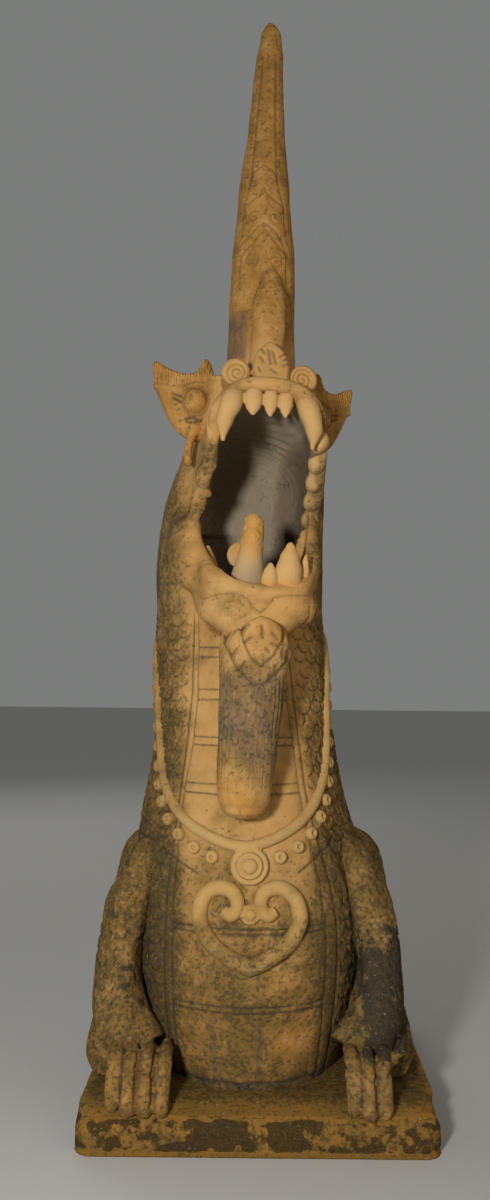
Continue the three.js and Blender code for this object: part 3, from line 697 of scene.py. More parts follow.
SHIELD_OUTER = {
    -1: [(-10, 41.3), (52, 41.3), (108, 40.4), (190, 36.7), (230, 35.4), (264, 32), (312, 30.5), (420, 28)],
    1: [(-10, 43.5), (52, 43.5), (107, 43), (189, 37.5), (246, 36.2), (312, 33), (420, 30)],
}
SHIELD_INNER = {
    -1: [(-10, 36), (109, 36), (200, 33.6), (227, 31), (264, 27.5), (310, 26.9), (420, 25)],
    1: [(-10, 37), (110, 36), (187, 33.4), (236, 31.5), (310, 28), (420, 26)],
}
LINE_WIDTH = 0.9
SHIELD_BANDS = (297, 290, 267, 260, 234, 228, 202, 195.5, 108.7, 105, 57, 53, 3)
CHIN_LINES = [
    [(-37.8, -73.4), (-25.2, -69.3), (-16.1, -68.6), (-8.1, -71.3), (-1.8, -77.3), (2, -80)],
    [(2, -80), (7.2, -75.4), (10.1, -70), (15.2, -67.7), (29.6, -66), (37.4, -64.8)],
]
CHIN_SWIRLS = [
    [(-27.4, -77.3), (-23.7, -73.8), (-16, -73.3), (-10.7, -75.5), (-5.2, -78.9)],
    [(-26, -81), (-20, -77.5), (-13, -78), (-8, -82)],
    [(-22, -85), (-16, -82), (-11, -84)],
    [(-14, -87), (-10, -84), (-5, -81)],
]
PALATE_CRACKS = [
    [(-14, 47), (-6, 52), (2, 50)],
    [(-10, 44), (-2, 42), (5, 43)],
    [(13, 30), (16, 24), (13, 18)],
    [(26, 20), (27, 8), (23, 0)],
]
BELLY_DRIPS = [[(0, 82), (-1, 60)], [(-31, 46), (-30, 2)], [(1, 46), (-2, 2)]]
MOUTH_MIDDLE = (0, -30, 0)
COLLAR_LINES = [
    [(-43, 154), (-33, 148), (-23, 142)],
    [(47, 162), (36, 152), (25, 143)],
]
FLAMES = [
    [(38, 168), (47, 150), (54, 121)],
    [(42, 160), (44, 147), (50, 136)],
    [(60, 150), (57, 138), (60, 124)],
    [(-58, 141), (-50, 148), (-40, 146)],
    [(-62, 128), (-54, 136), (-44, 138)],
    [(-66, 112), (-58, 122), (-48, 128)],
]


def chin_relief(points):
    """The lip band's incised line, the swirls on the left lobe and the upright strokes on the right."""
    x, y, z = off_head(points).T
    on_chin = ramp(y, -86, -90) * ramp(z, -60, -63) * ramp(z, -96, -92)
    line = strokes(x, z, CHIN_LINES, 1.0)
    swirl = strokes(x, z, CHIN_SWIRLS, 1.1)
    upright = ramp(wave(x + mottle(points, 5), 1.9), 0, 0.9) * ramp(x, 8, 11) * ramp(z, -67, -70)
    return np.clip(line + 0.6 * swirl + 0.4 * upright, 0, 1.1) * on_chin


def body_relief(points):
    """The shield's lines and bands, the scales beside it, the carved leaves on the shoulders and the chin's
    strokes. Gives the rise in millimetres and how deep in a groove each point lies, which is painted as
    shade."""
    angle, height, half = off_column(points)
    side, left = np.abs(angle), angle < 0
    edge, inner = (
        np.where(left, *(np.interp(height, *np.array(lines[hand], float).T) for hand in (-1, 1)))
        for lines in (SHIELD_OUTER, SHIELD_INNER)
    )
    arc = np.radians(1) * half
    on_neck = ramp(height, 332, 312) * ramp(side, 178, 170)
    line = bell((side - edge) * arc, LINE_WIDTH) + 0.8 * bell((side - inner) * arc, LINE_WIDTH)
    sag = 1.5 * (side / 40) ** 2
    bands = sum(bell(height + sag * (level < 120) - level, LINE_WIDTH) for level in SHIELD_BANDS)
    bands = bands * ramp(side - inner, 0, -1)
    rise, groove = fish_scales((side - edge - 2) * arc, height + 0.08 * side)
    scaled = ramp((side - edge) * arc, 2, 5) * on_neck * ramp(height, 8, 20)
    lines = strokes(angle * arc, height, np.array(COLLAR_LINES, float) * (np.radians(86), 1), 1.0)
    leaves = strokes(angle * arc, height, np.array(FLAMES, float) * (np.radians(84), 1), 2.2)
    plain = 1 - np.clip(1.5 * leaves, 0, 1)
    incised = np.clip(line + bands + lines, 0, 1.2) * on_neck
    carved = chin_relief(points)
    lift = 1.5 * rise * scaled * plain - 1.6 * groove * scaled * plain - 1.1 * incised
    lift += 1.8 * np.clip(leaves, 0, 1) * on_neck - 1.2 * carved
    return lift, np.clip(incised + groove * scaled * plain + 0.7 * carved, 0, 1)


spot = points_of(body)
relief, _ = body_relief(spot)
across, behind, up = off_head(spot).T
in_mouth = ramp(np.abs(across), 44, 38) * ramp(behind, -62, -50) * ramp(behind, 32, 28)
in_mouth *= ramp(up, 82, 76) * ramp(up, -74, -66)
ring = np.hypot(across - 4, up - 20)
brushed = in_mouth * (0.28 * wave(ring, 2.6) + uneven(spot, (5, 0.8)))
cracks = in_mouth * strokes(across, up + 2 * mottle(spot, 4), PALATE_CRACKS, 0.7)
press(body, relief + uneven(spot, (26, 1.4), (7, 0.5), (2.6, 0.3)) + brushed - 1.4 * cracks)
thinned(body)
spot = points_of(body)
_, crevices = body_relief(spot)
local = off_head(spot)
x, y, z = spot.T
across, behind, up = local.T
height = above_slab(spot)
flank = np.abs(x + 12)
middle_x, middle_y, half, front, back = eased_rows(COLUMN, np.clip(height, COLUMN[0, 0], COLUMN[-1, 0])).T
reach = np.hypot((x - middle_x) / half, (y - middle_y) / np.where(y < middle_y, front, back))
in_throat = ramp(reach, 0.94, 0.90) * ramp(height, 266, 272) * ramp(height, 392, 386)
in_mouth = ramp(np.abs(across), 44.5, 42) * ramp(behind, -92, -80) * ramp(behind, 30, 27)
in_mouth *= ramp(up, 82, 77) * ramp(height, 384, 390)
outward = local - MOUTH_MIDDLE
turned = off_head(spot + normals_of(body)) - local
in_mouth *= ramp(-np.sum(turned * outward, axis=1) / np.linalg.norm(outward, axis=1), 0.05, 0.35)
gape_edge = up - GAPE_CORNER[1] - (-behind - GAPE_CORNER[0]) * UPPER_SLOPE
left_rim = ramp(across, -28, -33) * ramp(np.abs(gape_edge), 13, 8) * ramp(behind, -36, -44) * ramp(up, 42, 32)
rims = ramp(np.abs(across), 33, 37) * ramp(np.abs(gape_edge), 8, 5)
corners = ramp(np.abs(across), 36, 39) * ramp(np.hypot(behind + 42, up + 10), 14, 9)
cavity = np.maximum(in_throat, in_mouth) * (1 - left_rim) * (1 - rims) * (1 - corners)
inner_jaw = cavity * ramp(across, 20, 31) * ramp(up, 60, 46)
# Painted shade: the throat's walls behind the ledge are darkened with the soot colour and kept free of the
# grey, standing in for the shadow there.
painted_throat_shade = in_throat * ramp(behind, 24, 6)
drips = strokes(x, height, BELLY_DRIPS, 3.2) * (y < -40)
# foot: painted shade where the body meets the slab, plus some lichen there.
foot = ramp(height, 9, 3) * ramp(reach, 0.9, 0.96)
# belly: darker towards the bottom, partly the patina and lichen of the lower body and partly painted shade
# where the light falls off downwards.
belly = ramp(height, 190, 90) * ramp(reach, 0.9, 0.95)
worn_cheek = 0.5 * ramp(flank, 34, 60) * ramp(height, 490, 440)
# Soot on the flanks, held off the right side (x above 20) as painted light that lightens the side turned away
# from the key light.
flank_soot_and_painted_light = 0.4 * ramp(flank, 44, 64) * ramp(height, 130, 220) * (1 - 0.9 * ramp(x, 20, 40))
speckled_side = 0.24 * ramp(x, -60, -84) * ramp(height, 480, 380)
coat(
    body,
    clay_material("body clay"),
    orange=0.15 + 0.6 * belly * ramp(height, 140, 40),
    # The patina on the belly is cut back on the right side: painted light that lightens the side turned away
    # from the key light.
    patina=0.22 + 0.42 * belly * (1 - 0.7 * ramp(x, 0, 36)) + worn_cheek + 0.28 * left_rim
    + 0.2 * ramp(mottle(spot, 21), 0.4, 0.7),
    # The soot mask below also carries the painted shade on the throat's walls.
    soot=flank_soot_and_painted_light + ramp(inner_jaw, 0, 0.35) + painted_throat_shade + 0.75 * drips
    + 0.45 * left_rim * mottle(spot, 8),
    grey=cavity * (1 - 0.75 * inner_jaw) * (1 - 0.9 * painted_throat_shade),
    # Painted shade in the grooves and where the body meets the slab, with dark specks on the belly and the
    # left rim.
    crevice=crevices + 0.45 * belly * ramp(mottle(spot, 3.5), 0.5, 0.75) + 0.6 * foot
    + 0.5 * left_rim * mottle(spot, 5),
    # The lichen on the belly is cut back on the right side as painted light.
    lichen=0.22 * belly * (1 - 0.6 * ramp(x, 10, 40)) + speckled_side + 0.25 * foot,
)


# The legs. Haunches folded against the flanks with the hind feet laid forward on the slab, and short
# forelegs that end in round-nailed toes of rolled clay, all smoothed on to the body by hand.
LEG_AXIS = -8
THIGH = [(66, 46, 160, 8, 12), (80, 44, 130, 24, 40), (88, 36, 84, 25, 54), (90, 22, 38, 22, 54),
         (92, 20, -4, 20, 50)]
HIND_FOOT = [(0, 50, 16, 12, 18), (0, -10, 20, 14, 26), (0, -50, 13, 14, 17), (-3, -70, 10, 11, 11)]
SHANK = [(1, -12, 20, 8, 16), (2, -6, 40, 7, 9), (2, -2, 54, 5, 4)]
FORELEG = [(64, -14, 160, 8, 14), (76, -22, 140, 15, 24), (88, -34, 108, 17, 26), (93, -46, 70, 16, 24),
           (88, -60, 38, 20, 23), (77, -68, 18, 22, 22)]
HIND_SPREAD = {-1: 101, 1: 104}
TOES = {
    -1: [(87, 9.5, -107), (76.5, 10.5, -113), (65.5, 10, -114), (54.5, 10, -113)],
    1: [(90, 9.5, -112), (79.5, 10.5, -115), (69.5, 9.5, -110)],
}
TOE_STATIONS = [(21, 26, 0.4), (9, 20, 0.6), (2, 11, 0.4), (-1, 1, 0.3), (0, -6, -0.5)]
CUFFS = [
    [(-110, -70, 34, 3), (-108, -82, 29, 3.6), (-102, -90, 22, 4), (-93, -93, 23, 3.8), (-82, -94, 28, 3.6),
     (-74, -92, 25, 3.8), (-67, -86, 22, 3.6), (-62, -74, 28, 2.6)],
    [(58, -72, 32, 2.6), (64, -84, 26, 3.4), (70, -91, 24, 3.6), (78, -94, 21, 3.6), (87, -93, 22, 3.6),
     (95, -86, 26, 3.4), (100, -74, 32, 2.6)],
]
TAIL = [(44, 84, 8, 8), (16, 102, 13, 11), (-16, 106, 38, 10), (-14, 104, 80, 9), (-4, 102, 118, 7),
        (-10, 96, 146, 4)]
LEG_GRAIN = 1.15
LEG_LIMIT = 185000


def leg_shells(hand):
    """One side's haunch, hind foot, shank, foreleg and toes."""
    def beside(points):
        moved = np.array(points, float)
        moved[:, 0] = moved[:, 0] * hand + LEG_AXIS
        return on_slab(moved)

    def spread(rows):
        return [(row[0] + HIND_SPREAD[hand], *row[1:]) for row in rows]

    toes = [
        limb([(across, -74, 22, 4),
              *((across, reach + back, up, width / 2 + more) for back, up, more in TOE_STATIONS)],
             beside, SIDEWAYS)
        for across, width, reach in TOES[hand]
    ]
    (first, _, near), (last, _, far) = TOES[hand][0], TOES[hand][-1]
    pad = [(first, near + 15, 8, 10, 5), (last, far + 15, 8, 10, 5)]
    toes.append(limb(pad, beside))
    hind = [limb(THIGH, beside), limb(spread(HIND_FOOT), beside, (0, 0, 1)), limb(spread(SHANK), beside)]
    return [*hind, limb(FORELEG, beside), *toes]


def leg_relief(points):
    """The gaps between the toes, a rounded ridge down each foreleg with punched dashes outside it, and
    hatching over the haunches' lower ends. Gives the rise and how deep in a groove each point lies, which is
    painted as shade."""
    x, y, z = points.T
    gaps, lift, dark = 0.0, 0.0, 0.0
    for hand in (-1, 1):
        across = hand * (x - LEG_AXIS)
        places = [row[0] for row in TOES[hand]]
        for gap in np.add(places[:-1], places[1:]) / 2:
            gaps = gaps + bell(across - gap, 1.1) * ramp(y, -84, -90) * ramp(z, 66, 58) * (z > 31)
        ridge = np.interp(z, [60, 110, 165], [98, 92, 82]) - 10
        lift = lift + 1.6 * bell(across - ridge, 3.0) * ramp(y, -30, -42) * ramp(z, 76, 90)
        dashes = ramp(np.sin(z * 2 * np.pi / 8 + across), 0.3, 0.8) * ramp(wave(across, 7), 0.0, 0.6)
        dark = dark + 1.3 * dashes * ramp(across - ridge, 3, 6) * ramp(z, 66, 78) * ramp(z, 175, 160)
        hem = bell(z - 50 - 2.5 * np.sin(across / 5), 1.6) * ramp(y, -80, -86) * ramp(across, 48, 52)
        gaps = gaps + 0.5 * hem
        hatch = ramp(wave(x + y, 3.2), 0, 0.8)
        dark = dark + 0.7 * hatch * ramp(across, 98, 103) * ramp(y, -20, -30) * ramp(z, 66, 58)
    return lift - 3.2 * gaps - 1.0 * dark, np.clip(0.9 * gaps + 0.6 * dark, 0, 1)


legs = worked(rough_piece("legs_and_tail", [
    *leg_shells(-1),
    *leg_shells(1),
    limb(TAIL, on_slab, SIDEWAYS),
    *(limb(cuff, on_slab, (0, 0, 1)) for cuff in CUFFS),
]), LEG_GRAIN)
spot = points_of(legs)
relief, _ = leg_relief(spot)
pitted = ramp(mottle(spot, 5), 0.62, 0.8) * 0.8 * ramp(spot[:, 2], 60, 80)
press(legs, relief + uneven(spot, (18, 1.6), (4, 0.5)) - pitted)
thinned(legs, LEG_LIMIT)
spot = points_of(legs)
x, y, z = spot.T
_, crevices = leg_relief(spot)
on_toes = ramp(z, 60, 52) * ramp(y, -78, -86)
# dark_sleeve: darker on the right leg's lower outer side, partly lichen and partly painted shade on the side
# turned away from the key light.
dark_sleeve = ramp(x, 60, 80) * ramp(z, 178, 130) * ramp(z, 52, 60) * ramp(y, 6, -10)
dark_sleeve *= 0.02 + 0.2 * ramp(mottle(spot, 13), 0.25, 0.75) + 0.27 * ramp(z, 132, 96)
# Painted light: less lichen on the right shoulder, lightening the side turned away from the key light.
lit_right_shoulder = ramp(x, 40, 60) * ramp(z, 124, 150)
inner_patch = ramp(np.hypot((x + 86) / 16, (z - 98) / 34), 1.1, 0.5) * mottle(spot, 9)
coat(
    legs,
    clay_material("leg clay"),
    orange=0.5 * ramp(x, 0, -60) + 0.3 * on_toes,
    patina=0.75 - 0.1 * on_toes,
    soot=0.3 * ramp(x, 40, 90),
    lichen=0.38 - 0.22 * lit_right_shoulder + dark_sleeve + 0.2 * inner_patch - 0.1 * on_toes,
    # Painted shade between the toes and in the legs' grooves, with dark specks.
    crevice=0.5 * ramp(mottle(spot, 5), 0.55, 0.8) + crevices
    + 0.3 * on_toes * ramp(mottle(spot, 3.4), 0.5, 0.75),
)


# The crest. The tall raised trunk, the short horn before it, the coiled nostrils with a leaf between
# them, and the brow crests with their eyes and drooping ears, all modelled and luted on to the head.
TRUNK = [(-4, 2, 500, 27, 26), (-4, 0, 545, 25, 25), (-3, -1, 590, 24, 23), (-3, 0, 640, 19.5, 20),
         (-2, 2, 694, 14, 15), (-1, 2, 720, 12, 13), (0, 1, 745, 10.5, 11), (1, 0, 764, 8, 8),
         (0.5, 0, 772, 4.5, 4.5), (0, -1, 775, 1.5, 1.5)]
HORN = [(0, -50, 86, 13, 12), (0, -53, 118, 12, 11), (0, -52, 148, 12.5, 10), (0, -46, 168, 8, 7),
        (0, -42, 182, 2.5, 2.5)]
NOSE_GOUGES = [
    [(-7, 106.3), (-4.8, 103.6)], [(-7.7, 100.1), (-5.5, 97.1)], [(-9.1, 91.5), (-7.7, 88.7)],
    [(6.3, 101.9), (9.2, 104)], [(8.9, 99.3), (11.8, 100.7)], [(9.2, 95.2), (11.8, 96.6)],
    [(-2.2, 106.3), (-0.3, 95.9)], [(0.8, 105.4), (3.2, 96.3)], [(0, 91.3), (3.7, 88.8)],
]
NOSE_LEAF = [(-8, -26), (8, -26), (13, -8), (11, 4), (6, 11), (0, 16), (-6, 11), (-11, 4), (-13, -8)]
BROW = [(0, 56), (0, 91), (13, 95), (19, 106), (25, 97), (34, 95), (47, 98), (59, 104),
        (58, 88), (50, 69), (39, 53), (24, 46)]
EAR_REACH = {-1: 50, 1: 43}
BROW_SWEEP = {-1: np.radians(18), 1: np.radians(35)}
BROW_THICKNESS = 14
CREST_GRAIN = 0.85
CREST_LIMIT = 185000
NOSTRIL_ACROSS, NOSTRIL_UP = 23, 87
TRUNK_CURLS = [(-8, 645, 5), (5.5, 645, 5), (-7.5, 618, 6), (9, 618, 6), (-9.5, 585, 6.5), (9.5, 585, 6.5)]
TRUNK_ARCHES = [
    [(-14, 632), (-8, 653), (0, 658), (8, 653), (14, 632)],
    [(-18, 598), (-8, 606), (0, 613), (9, 607), (19, 590)],
    [(-19, 566), (-17, 590), (-6, 600), (0, 611)],
    [(19, 566), (18, 590), (7, 600), (0, 611)],
    [(-17, 605), (-15, 628), (-3, 634), (0, 640), (3, 634), (15, 628), (17, 605)],
]
BROW_CUTS = [
    [(27.3, 77.5), (27.1, 73)], [(42.8, 79.4), (35.1, 77)], [(41.4, 76.3), (35.5, 72.8)],
    [(31.4, 60.6), (25.3, 61.9), (20.1, 59.6)], [(30, 58.8), (25, 58.3), (19, 60.8)],
]
EYE_OUT, EYE_UP = 24, 73.5


def standing(origin, out):
    """Axes for a thing that stands on a surface at the origin: across, up and out."""
    out = direction(np.asarray(out, float))
    across = direction(np.cross((0, 0, 1), out))
    return np.array(origin, float), np.stack([across, np.cross(out, across), out])


def plate(outline, depth, origin, axes, drop=0.0, levels=6, swell=0.16):
    """A smoothed outline thickened along its own normal: rings at each level of its thickness, drawn
    in at the two faces by the swell, for a rounded rim."""
    if len(outline) < 40:
        outline = smooth_line([*outline, outline[0]], 72)[:-1]
    middle = outline.mean(axis=0)
    share = np.linspace(0, 1, levels)[:, None, None]
    draw = 1 - swell * (2 * share - 1) ** 4
    flat = middle + (outline - middle) * draw
    spots = np.concatenate([flat, np.broadcast_to(share * depth + drop, (*flat.shape[:2], 1))], axis=-1)
    return skin(origin + spots * UNIT @ axes)


def spun(profile, sides, origin, axes):
    """A profile of radius and rise, turned round the axis that points out of the origin: radius *
    cos, radius * sin and rise."""
    reach, rise = (np.array(column, float)[:, None] for column in zip(*profile))
    around = circle(sides)
    rings = np.stack([reach * np.cos(around), reach * np.sin(around), rise + 0 * around], axis=-1)
    return skin(origin + rings * UNIT @ axes)


def disc(radius, depth, origin, axes, narrow=1.0):
    """A round plug from -depth/2 to depth/2 along its axis, its outer end narrower or wider."""
    edge = radius * narrow
    profile = [(0, -0.5), (radius * 0.8, -0.5), (radius, -0.4), (edge, 0.42), (edge * 0.8, 0.5)]
    return spun([(reach, share * depth) for reach, share in profile], 48, origin, axes)


def brow_frame(hand):
    """The brow crest's root, and its axes outwards, up and to the front, swept back from the muzzle."""
    sweep = hand * BROW_SWEEP[hand]
    turn = np.array([[np.cos(sweep), -np.sin(sweep), 0], [np.sin(sweep), np.cos(sweep), 0], [0, 0, 1]])
    axes = np.array([[1, 0, 0], [0, 0, 1], [0, -1, 0]]) @ (HEAD_AXES @ turn).T
    return in_head((hand * 26, -56, 0)), axes


def brow_shells(hand):
    """One brow crest, its low round eyeball and its ear."""
    origin, axes = brow_frame(hand)
    outline = [(hand * out, up) for out, up in BROW]
    eye_turn = np.linspace(0, np.pi, 20)[:, None]
    around = circle(32)
    ball = np.stack([8.5 * np.sin(eye_turn) * np.cos(around), 9 * np.sin(eye_turn) * np.sin(around),
                     6 * np.cos(eye_turn) + 0 * around], axis=-1)[::-1]
    ball += (hand * EYE_OUT, EYE_UP, 0)
    reach = EAR_REACH[hand]
    ear = [(hand * (reach - 3), -46, 56, 6), (hand * (reach + 1), -48, 44, 4),
           (hand * (reach + 2), -49, 34, 3.8), (hand * (reach + 1), -49, 28, 4.6),
           (hand * (reach + 1), -49, 25, 2)]
    crest_plate = plate(outline, BROW_THICKNESS, origin, axes, drop=-BROW_THICKNESS, swell=0.1)
    return [crest_plate, skin(origin + ball * UNIT @ axes), head_limb(ear)]


def nostril_shells():
    """Two short rolled coils seen end on."""
    made = []
    for hand in (-1, 1):
        place = in_head((hand * NOSTRIL_ACROSS, -70, NOSTRIL_UP))
        made.append(disc(10.5, 26, *standing(place, HEAD_AXES @ (hand * 0.12, -1, 0.1)), narrow=0.95))
    return made


nose_leaf = plate(NOSE_LEAF, 12, *standing(in_head((0, -72, 96)), HEAD_AXES @ (0, -1, 0.4)))
crest = worked(rough_piece("crest", [
    limb(TRUNK, on_slab, sides=48, steps=120),
    head_limb(HORN),
    nose_leaf,
    *nostril_shells(),
    *brow_shells(-1),
    *brow_shells(1),
]), CREST_GRAIN)


def spiral(u, v, radius, pitch=3.6, hand=1):
    """1 in a groove that winds out from the middle, a turn every pitch, as far as the radius."""
    reach = np.hypot(u, v)
    phase = (reach / pitch - hand * np.arctan2(v, u) / (2 * np.pi)) % 1.0
    return bell((phase - 0.5) * pitch, 0.75) * ramp(reach, radius, radius - 1)


def brow_relief(points):
    """The brow crests: upright hatching above a ridge, a ring round the eye, a notched pupil, lines at the
    eye's corner and bags below it. Gives the rise and how deep in a groove each point lies, which is painted
    as shade."""
    rise, crevice = np.zeros(len(points)), np.zeros(len(points))
    for hand in (-1, 1):
        origin, axes = brow_frame(hand)
        out, up, front = ((points - origin) @ axes.T / UNIT).T
        out = out * hand
        shown = ramp(front, -5, -2) * ramp(out, 6, 9) * ramp(off_head(points)[:, 0] * hand, 34, 37)
        ridge = np.interp(out, [8, 17, 29, 41, 57], [88.7, 86.2, 83, 82.8, 84])
        waver = 1.5 * mottle(points, 9)
        comb = ramp(wave(out + waver, 2.1), -0.1, 0.8) * ramp(up - ridge, 2, 4) * shown
        brim = bell(up - ridge, 1.8) * shown
        eye_reach = np.hypot((out - EYE_OUT) / 8.5, (up - EYE_UP) / 9)
        socket = bell(eye_reach - 1.14, 0.10) * shown
        lid = bell(eye_reach - 1.42, 0.13) * ramp(up, 66, 72) * shown
        cut_in = strokes(out, up, BROW_CUTS, LINE_WIDTH) * ramp(front, -5, -2)
        below = ramp(ridge - up, 0, 4) * ramp(eye_reach, 1.1, 1.3) * shown
        rise += 1.5 * brim + 1.0 * lid - 1.3 * comb - 1.4 * socket - 1.3 * np.clip(cut_in, 0, 1) - 0.8 * below
        crevice += 0.7 * comb + 0.7 * socket + 0.8 * cut_in + 0.25 * below
    return rise, np.clip(crevice, 0, 1)


def crest_relief(points):
    """The trunk's notched sides, spirals and crossed arches, the nostrils' coils and the leaf's
    gouges, each as 1 in its groove."""
    height = above_slab(points)
    rows = np.array([[row[2], *row[:2], *row[3:]] for row in TRUNK], float)
    x, y, half, front = (np.interp(height, rows[:, 0], rows[:, k]) for k in range(1, 5))
    u = points[:, 0] / UNIT - x
    before = ramp(points[:, 1] / UNIT - y, 2, -2) * ramp(height, 522, 530)
    side = np.abs(u) / half
    strip = bell((side - 0.52) * half, LINE_WIDTH) * ramp(height, 640, 655) * ramp(height, 745, 738)
    notch = ramp(wave(height - 0.9 * np.abs(u), 6.5), 0.4, 0.95) * ramp(side, 0.58, 0.68)
    notch = 0.6 * notch * ramp(side, 0.92, 0.8) * ramp(height, 640, 650) * ramp(height, 742, 735)
    curled = sum(spiral(u - cu, height - cv, radius, hand=np.sign(cu)) for cu, cv, radius in TRUNK_CURLS)
    arched = strokes(u, height, TRUNK_ARCHES, LINE_WIDTH)
    across, behind, up = off_head(points).T
    groove = before * np.clip(strip + notch + 0.8 * np.clip(curled + arched, 0, 1.2), 0, 1.3)
    for hand in (-1, 1):
        u, v = across - hand * NOSTRIL_ACROSS, up - NOSTRIL_UP
        coil = spiral(u, v, 8.5, 3.4, -hand) * ramp(behind, -78, -80)
        groove = groove + coil * ramp(np.hypot(u, v), 11, 10)
    on_leaf = ramp(behind, -76, -79) * ramp(np.abs(across), 14, 12) * ramp(up, 112, 108)
    return groove + strokes(across, up, NOSE_GOUGES, 1.2) * on_leaf


cut(crest, [muzzle_shell(MOUTH_HOLLOW, MOUTH_WALL - 3)], CREST_GRAIN)
spot = points_of(crest)
brows, _ = brow_relief(spot)
press(crest, brows - 1.3 * crest_relief(spot) + uneven(spot, (14, 0.9), (3, 0.25)))
thinned(crest, CREST_LIMIT)
spot = points_of(crest)
_, brow_crevices = brow_relief(spot)
grooves = crest_relief(spot)
height = above_slab(spot)
on_trunk = ramp(height, 505, 540)
on_brow = ramp(np.abs(off_head(spot)[:, 0]), 34, 42) * ramp(height, 520, 510)
coat(
    crest,
    clay_material("crest clay"),
    orange=0.2 + 0.55 * on_trunk + 0.55 * on_brow,
    patina=0.1 + 0.35 * on_trunk + 0.3 * on_brow,
    soot=0.75 * ramp(spot[:, 0], -10, -18) * ramp(height, 560, 540) * ramp(height, 500, 515),
    # Painted shade in the grooves of the trunk, nostrils, leaf and brows.
    crevice=np.clip(0.75 * grooves + brow_crevices, 0, 1),
)


# The teeth and tongue. Round-crowned pegs of clay pinched to points and set into the jaws, two curved
# fangs above and one great tooth below, and the broken stub of the tongue with a lobe at its left.
UPPER_FRONT = [(-12, 13.5), (0, 10.5), (10.5, 10.5)]
LOWER_FRONT = [((7, -101, -66), (7, -103, -45), 12), ((20.5, -98, -66), (20, -101, -30), 19),
               ((31.5, -92, -62), (32, -96, -36), 8)]
TONGUE = [(-5, -76, -84, 15, 12), (-5, -78, -58, 12.5, 10), (-4, -77, -34, 8.5, 8),
          (-3, -76, -13, 6.8, 6), (-2, -76, -9, 3.5, 3)]
RIGHT_ROOTS = [(43, -42, -2, 5), (42.5, -56, 12, 6), (41, -68, 26, 6), (39.5, -80, 39, 5.6), (38, -84, 48, 4)]
SHARD = [(-22, -68, -74, 6, 4), (-24, -66, -60, 5.6, 3.6), (-29, -63, -45, 4.6, 3), (-34, -60, -33, 3.6, 2.4)]
SIDE_TOOTH_PITCH = 11.0
TOOTH_GRAIN = 0.8
TEETH_LIMIT = 120000


def tooth(root, tip, width, facing=(0, -1, 0.2)):
    """A peg from its root to its tip, widest near the middle, four fifths as thick as it is wide."""
    root, tip = np.array(root, float), np.array(tip, float)
    crown = [(0, 0.42), (0.25, 0.49), (0.5, 0.48), (0.72, 0.36), (0.92, 0.17), (1, 0.06)]
    rows = [(*(root + (tip - root) * share), width * swell, width * swell * 0.8) for share, swell in crown]
    return head_limb(rows, facing, sides=20, steps=20)


def tooth_shells():
    """All the teeth that still stand."""
    made = [tooth((x, -94, 73), (x, -98, 54.5), width) for x, width in UPPER_FRONT]
    back, level = GAPE_CORNER
    for hand in (-1, 1):
        fang = [(hand * 23, -88, 73, 6), (hand * 27, -96, 62, 7.6), (hand * 31, -98, 49, 6),
                (hand * 31, -97, 35, 1.4)]
        made.append(head_limb(fang, SIDEWAYS))
        made.append(tooth((hand * 38, -84, 58), (hand * 39, -88, 36), 8))
    for n in range(5):
        reach = back + 4 + SIDE_TOOTH_PITCH * n
        edge = level + (reach - back) * UPPER_SLOPE
        across = 43 - 1.2 * n
        made.append(tooth((across, -reach + 5, edge + 5), (across - 1, -reach - 4, edge - 4), 17, SIDEWAYS))
    return [*made, head_limb(RIGHT_ROOTS, SIDEWAYS), *(tooth(*row) for row in LOWER_FRONT)]


def on_tongue_stub(points):
    """1 on the tongue's stub, in the head's own shares."""
    across, behind, up = off_head(points).T
    return ramp(np.hypot(across + 5, (behind + 76) * 0.7), 17, 15) * ramp(up, -8, -12)


lobe = disc(9, 6, *standing(in_head((-11, -68, -38)), HEAD_AXES @ (0, -1, 0)))
mouth_shells = [head_limb(TONGUE), lobe, head_limb(SHARD, SIDEWAYS)]
teeth = worked(rough_piece("teeth_and_tongue", [*tooth_shells(), *mouth_shells]), TOOTH_GRAIN, 2)
spot = points_of(teeth)
rough_tip = on_tongue_stub(spot) * ramp(off_head(spot)[:, 2], -40, -24)
press(teeth, uneven(spot, (9, 0.5), (2.2, 0.2 + 1.0 * rough_tip)))
thinned(teeth, TEETH_LIMIT)
spot = points_of(teeth)
across, behind, up = off_head(spot).T
on_tongue = on_tongue_stub(spot)
on_shard = ramp(behind, -74, -70) * ramp(across, -16, -20)
coat(
    teeth,
    clay_material("tooth clay", clay=(0.53, 0.335, 0.135)),
    orange=0.5 * ramp(up, -50, -62) + 0.8 * on_tongue * ramp(up, -48, -20),
    grey=0.6 * on_tongue * ramp(up, -36, -56) + 0.35 * on_shard,
    soot=0.5 * ramp(np.abs(across), 34, 42) * ramp(up, 40, 20) + 0.35 * on_shard,
    patina=0.45 * ramp(np.abs(across), 34, 40) * ramp(up, 50, 30) + 0.08,
    crevice=0.3 * on_tongue * ramp(mottle(spot, 2.2), 0.6, 0.8) * ramp(up, -40, -24),
)


